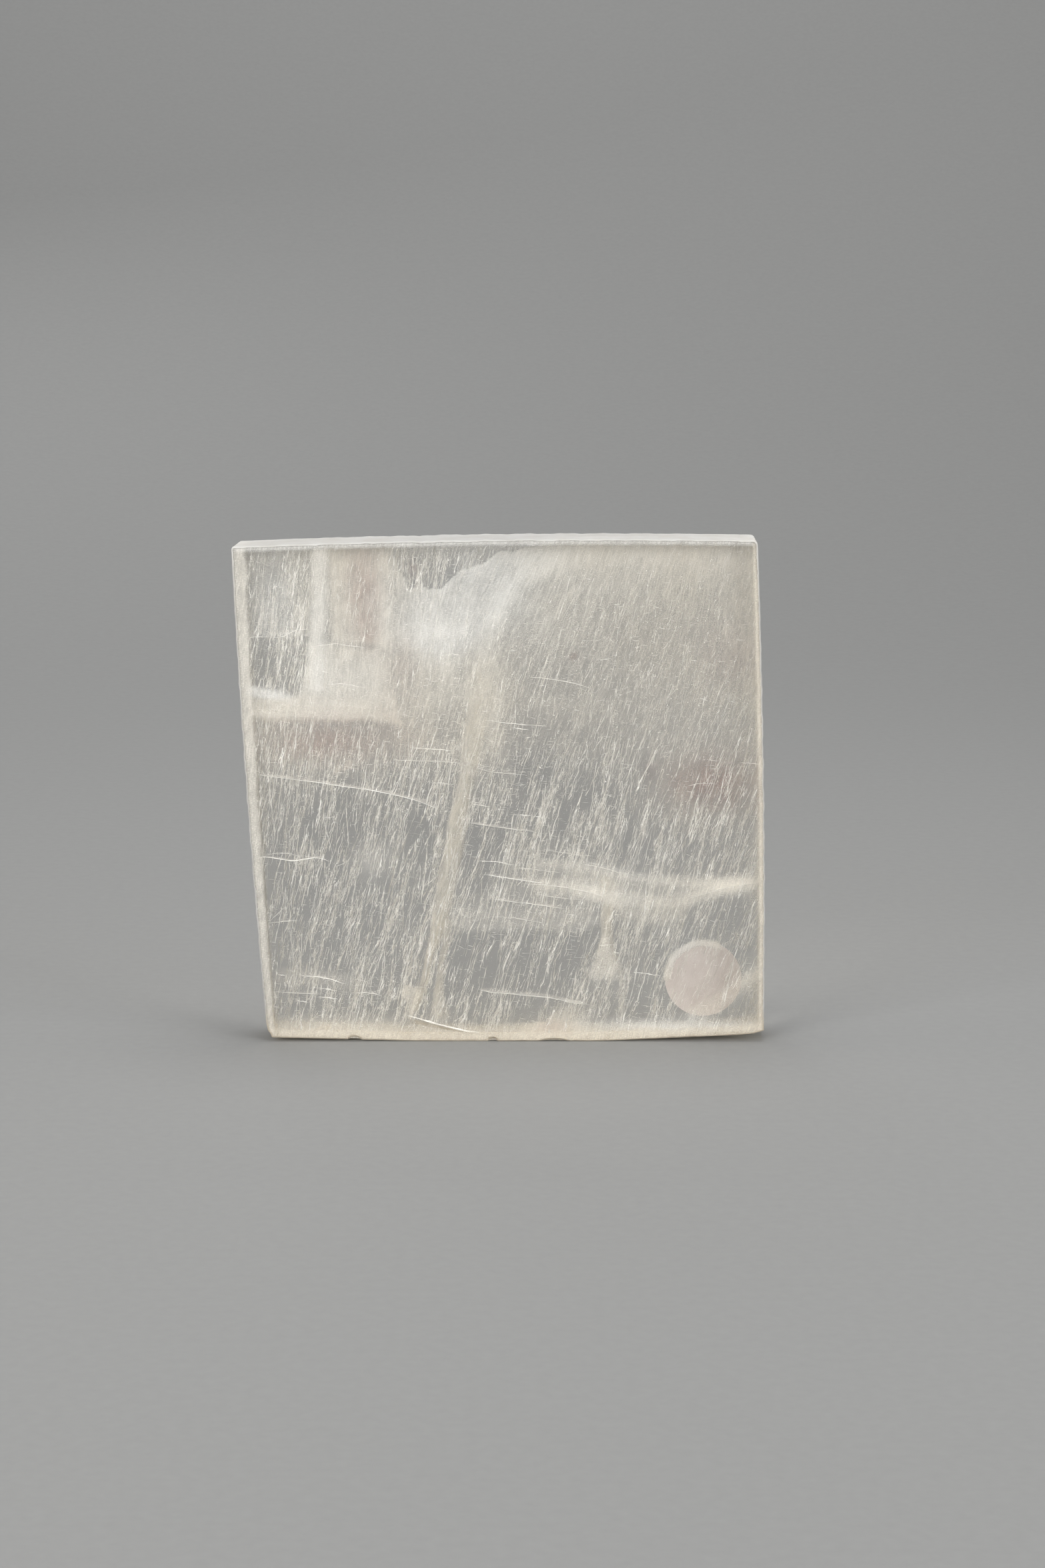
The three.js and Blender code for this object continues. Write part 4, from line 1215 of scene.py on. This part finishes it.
HATCHED_PLACES = clouds(
    (-16, 90, 9, 12, 0, 1), (-13, 106, 13, 8, 10, 0.7), (-41, 12.5, 12, 6, 0, 0.9), (-30, 66, 28, 7, -7, 0.6),
    (0, 66, 16, 16, 0, 0.7), (5, 30, 16, 5, -3, 0.8), (-55, 105, 8, 14, 0, 0.4), (20, 100, 18, 14, 0, 0.4),
)  # fmt: skip


def dash_weight(x, z):
    """Where tiny cross cracks lie thick: in a few hatched patches, and a little of them everywhere."""
    return np.clip(0.3 + summed(HATCHED_PLACES, x, z), 0.0, 1.0)


def flecks(name, material, random, centre, size, turn, radius, stations):
    """Straight little spindles round their centres, in planes that are parallel to the faces. turn is how far
    each is turned from level."""
    way = np.column_stack([np.cos(turn), np.zeros(len(centre)), np.sin(turn)])
    at = np.linspace(-0.5, 0.5, stations)
    paths = centre[:, None] + (at * size[:, None])[..., None] * way[:, None]
    needles(name, material, random, paths, np.broadcast_to(radius[:, None], (len(centre), stations)))


def cross_dashes(material):
    """Short fine dashes that lie nearly level, in line with the cracks. A few of them are long."""
    random = np.random.default_rng(91)
    count = 11000
    centre = scatter(random, count, dash_weight, 5.0)
    size = 0.2 + 2.4 * random.random(count) ** 5
    turn = np.radians(random.normal(-5.0, 10.0, count))
    radius = 0.016 + 0.03 * random.random(count) ** 2
    flecks("cross_dashes", material, random, centre, size, turn, radius, 4)


def sparks(material, places):
    """Tiny bright specks, most of them on fibres: about as long as they are thick, near places picked at
    random from those given."""
    random = np.random.default_rng(97)
    count = 15000
    centre = places[random.integers(0, len(places), count)]
    centre = centre + random.normal(0.0, 0.12, (count, 3)) * [1.0, 0.5, 1.0]
    size = 0.1 + 0.28 * random.random(count) ** 4
    flecks("sparks", material, random, centre, size, random.random(count) * np.pi, 0.4 * size, 3)


# ---- the studio ----

CAMERA_PITCH = 11.0  # degrees down
CAMERA_DISTANCE = 855.0
CAMERA_AIM = (5.15, FRONT_Y, 64.8)
LENS = 50.0
SENSOR_LONG_SIDE = 22.35


def camera():
    """The camera stands level with no roll, looks along +Y and is pitched down."""
    data = bpy.data.cameras.new("camera")
    data.lens = LENS
    data.sensor_width = SENSOR_LONG_SIDE
    data.clip_start, data.clip_end = 0.05, 20.0
    made = placed("camera", data)
    pitch = math.radians(CAMERA_PITCH)
    x, y, z = CAMERA_AIM
    place = (x, y - CAMERA_DISTANCE * math.cos(pitch), z + CAMERA_DISTANCE * math.sin(pitch))
    made.location = np.array(place) * MM
    made.rotation_euler = (math.radians(90.0) - pitch, 0.0, 0.0)
    bpy.context.scene.camera = made


def lamp(name, place, aim, size, watts, colour):
    """A square soft box at a place in metres that faces its aim."""
    data = bpy.data.lights.new(name, "AREA")
    data.shape, data.size, data.energy, data.color = "SQUARE", size, watts, colour
    made = placed(name, data)
    made.location = place
    way = np.array(aim) - np.array(place)
    flat = math.hypot(way[0], way[1])
    made.rotation_euler = (math.atan2(flat, -way[2]), 0.0, math.atan2(way[1], way[0]) - math.pi / 2)


def studio_floor():
    """A pale paper sweep all round: flat near the slab, then an arc that curves up to a wall. The profile is
    turned about Z. It lies a hair below the slab's foot."""
    flat_radius, arc_radius, wall, hole, sink = 0.55, 1.6, 0.6, 0.004, 0.00002
    flat_rings, arc_rings, count = 12, 29, 96
    angles = np.linspace(0.0, math.pi / 2, arc_rings + 1)[1:]
    radii = np.r_[np.linspace(hole, flat_radius, flat_rings), flat_radius + arc_radius * np.sin(angles)]
    heights = np.r_[np.zeros(flat_rings), arc_radius * (1 - np.cos(angles))]
    radii, heights = np.r_[radii, radii[-1]][:, None], np.r_[heights, arc_radius + wall][:, None]
    turn = np.linspace(0.0, 2 * np.pi, count + 1)[:-1]
    points = columned(radii * np.cos(turn), radii * np.sin(turn), np.repeat(heights, count, 1))
    points = np.vstack([points, [0.0, 0.0, 0.0]]) - [0.0, 0.0, sink]
    caps = [(len(points) - 1, i, (i + 1) % count) for i in range(count)]
    mesh = bpy.data.meshes.new("studio_floor")
    mesh.from_pydata(points.tolist(), [], ring_faces(len(radii), count).tolist() + caps)
    mesh.polygons.foreach_set("use_smooth", np.ones(len(mesh.polygons), bool))
    material, tree, out = new_material("pale_paper")
    pulp = noise(tree, object_place(tree), 380.0, 3.0)
    colour = mixed(tree, pulp, (0.285, 0.285, 0.28), (0.315, 0.315, 0.31))
    plain_surface(tree, out, {"Base Color": colour, "Roughness": 0.9})
    mesh.materials.append(material)
    placed("studio_floor", mesh)


def studio_light():
    """An even dim world, soft boxes close to the slab on the left, the right, above and behind, and one that
    washes the far side of the sweep."""
    world = bpy.data.worlds.new("world")
    bpy.context.scene.world = world
    world.use_nodes = True
    sky = world.node_tree.nodes["Background"].inputs
    sky["Color"].default_value, sky["Strength"].default_value = (0.97, 0.98, 1.0, 1.0), 0.36
    slab = (0.0, 0.0, 0.06)
    white = (1.0, 1.0, 1.0)
    lamp("key", (-0.66, -0.86, 0.5), slab, 0.6, 7.5, (1.0, 0.99, 0.97))
    lamp("fill", (0.82, -0.56, 0.32), slab, 0.6, 5.2, (0.98, 0.99, 1.0))
    lamp("top", (0.05, 0.05, 0.95), (0.0, 0.0, 0.1), 0.45, 4.9, white)
    lamp("back", (-0.4, 0.95, 0.6), slab, 0.5, 1.2, white)
    lamp("wash", (0.0, 1.1, 1.3), (0.0, 2.0, 0.35), 0.8, 7.2, white)


def render_settings():
    """Plain display colours, and enough see-through steps for the fibres and veils behind one another."""
    scene = bpy.context.scene
    scene.view_settings.view_transform = "Standard"
    scene.cycles.transparent_max_bounces = 48
    scene.cycles.max_bounces = 16
    scene.cycles.transmission_bounces = 14


# ---- everything together ----

camera()
studio_floor()
studio_light()
render_settings()

crystal_body(polished_crystal(), sawn_crystal())
front_film = cloudy_veil("front_veil_film", shift=0.0)
middle_film = cloudy_veil("middle_veil_film", shift=41.0)
back_film = cloudy_veil("back_veil_film", shift=87.0)
cloud_sheet("front_veil", FRONT_Y + 2.4, FRONT_CLOUDS, 0.05, front_film, seed=3)
cloud_sheet("middle_veil", 0.2, MIDDLE_CLOUDS, 0.07, middle_film, seed=5, arc_films=ARC_CLOUDS)
cloud_sheet("back_veil", BACK_Y - 2.6, BACK_CLOUDS, 0.05, back_film, seed=8)
fracture_skins(cloudy_veil("fracture_film", shift=133.0))
crushed_rims(cloudy_veil("crushed_film", shift=171.0))

# low is painted shade: how far the silk's colour is darkened in the lower part of the slab.
pale_silk = silk("pale_silk", (0.62, 0.605, 0.575), (0.98, 0.97, 0.945), low=0.9)
bright_silk = silk("bright_silk", (0.93, 0.91, 0.87), (1.0, 1.0, 0.99), low=0.95)
crack_threads(bright_silk)
places = [
    fibres("long_fibres", pale_silk, 2900, 12, long_weight, (3.0, 18.0), (0.04, 0.12), 31, forked=0.12),
    fibres("lower_fibres", pale_silk, 3800, 9, lower_weight, (2.0, 9.0), (0.033, 0.098), 34, forked=0.12),
    fibres(
        "middling_fibres", pale_silk, 5600, 7, middling_weight, (1.2, 5.0), (0.025, 0.062), 32, own_turn=8.0
    ),
    fibres("short_fibres", pale_silk, 7500, 5, short_weight, (0.6, 2.6), (0.022, 0.05), 33, own_turn=13.0),
]
cross_dashes(bright_silk)
sparks(bright_silk, np.vstack(places))

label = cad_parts["round_label"]
label.data.materials.clear()
label.data.materials.append(label_paper())
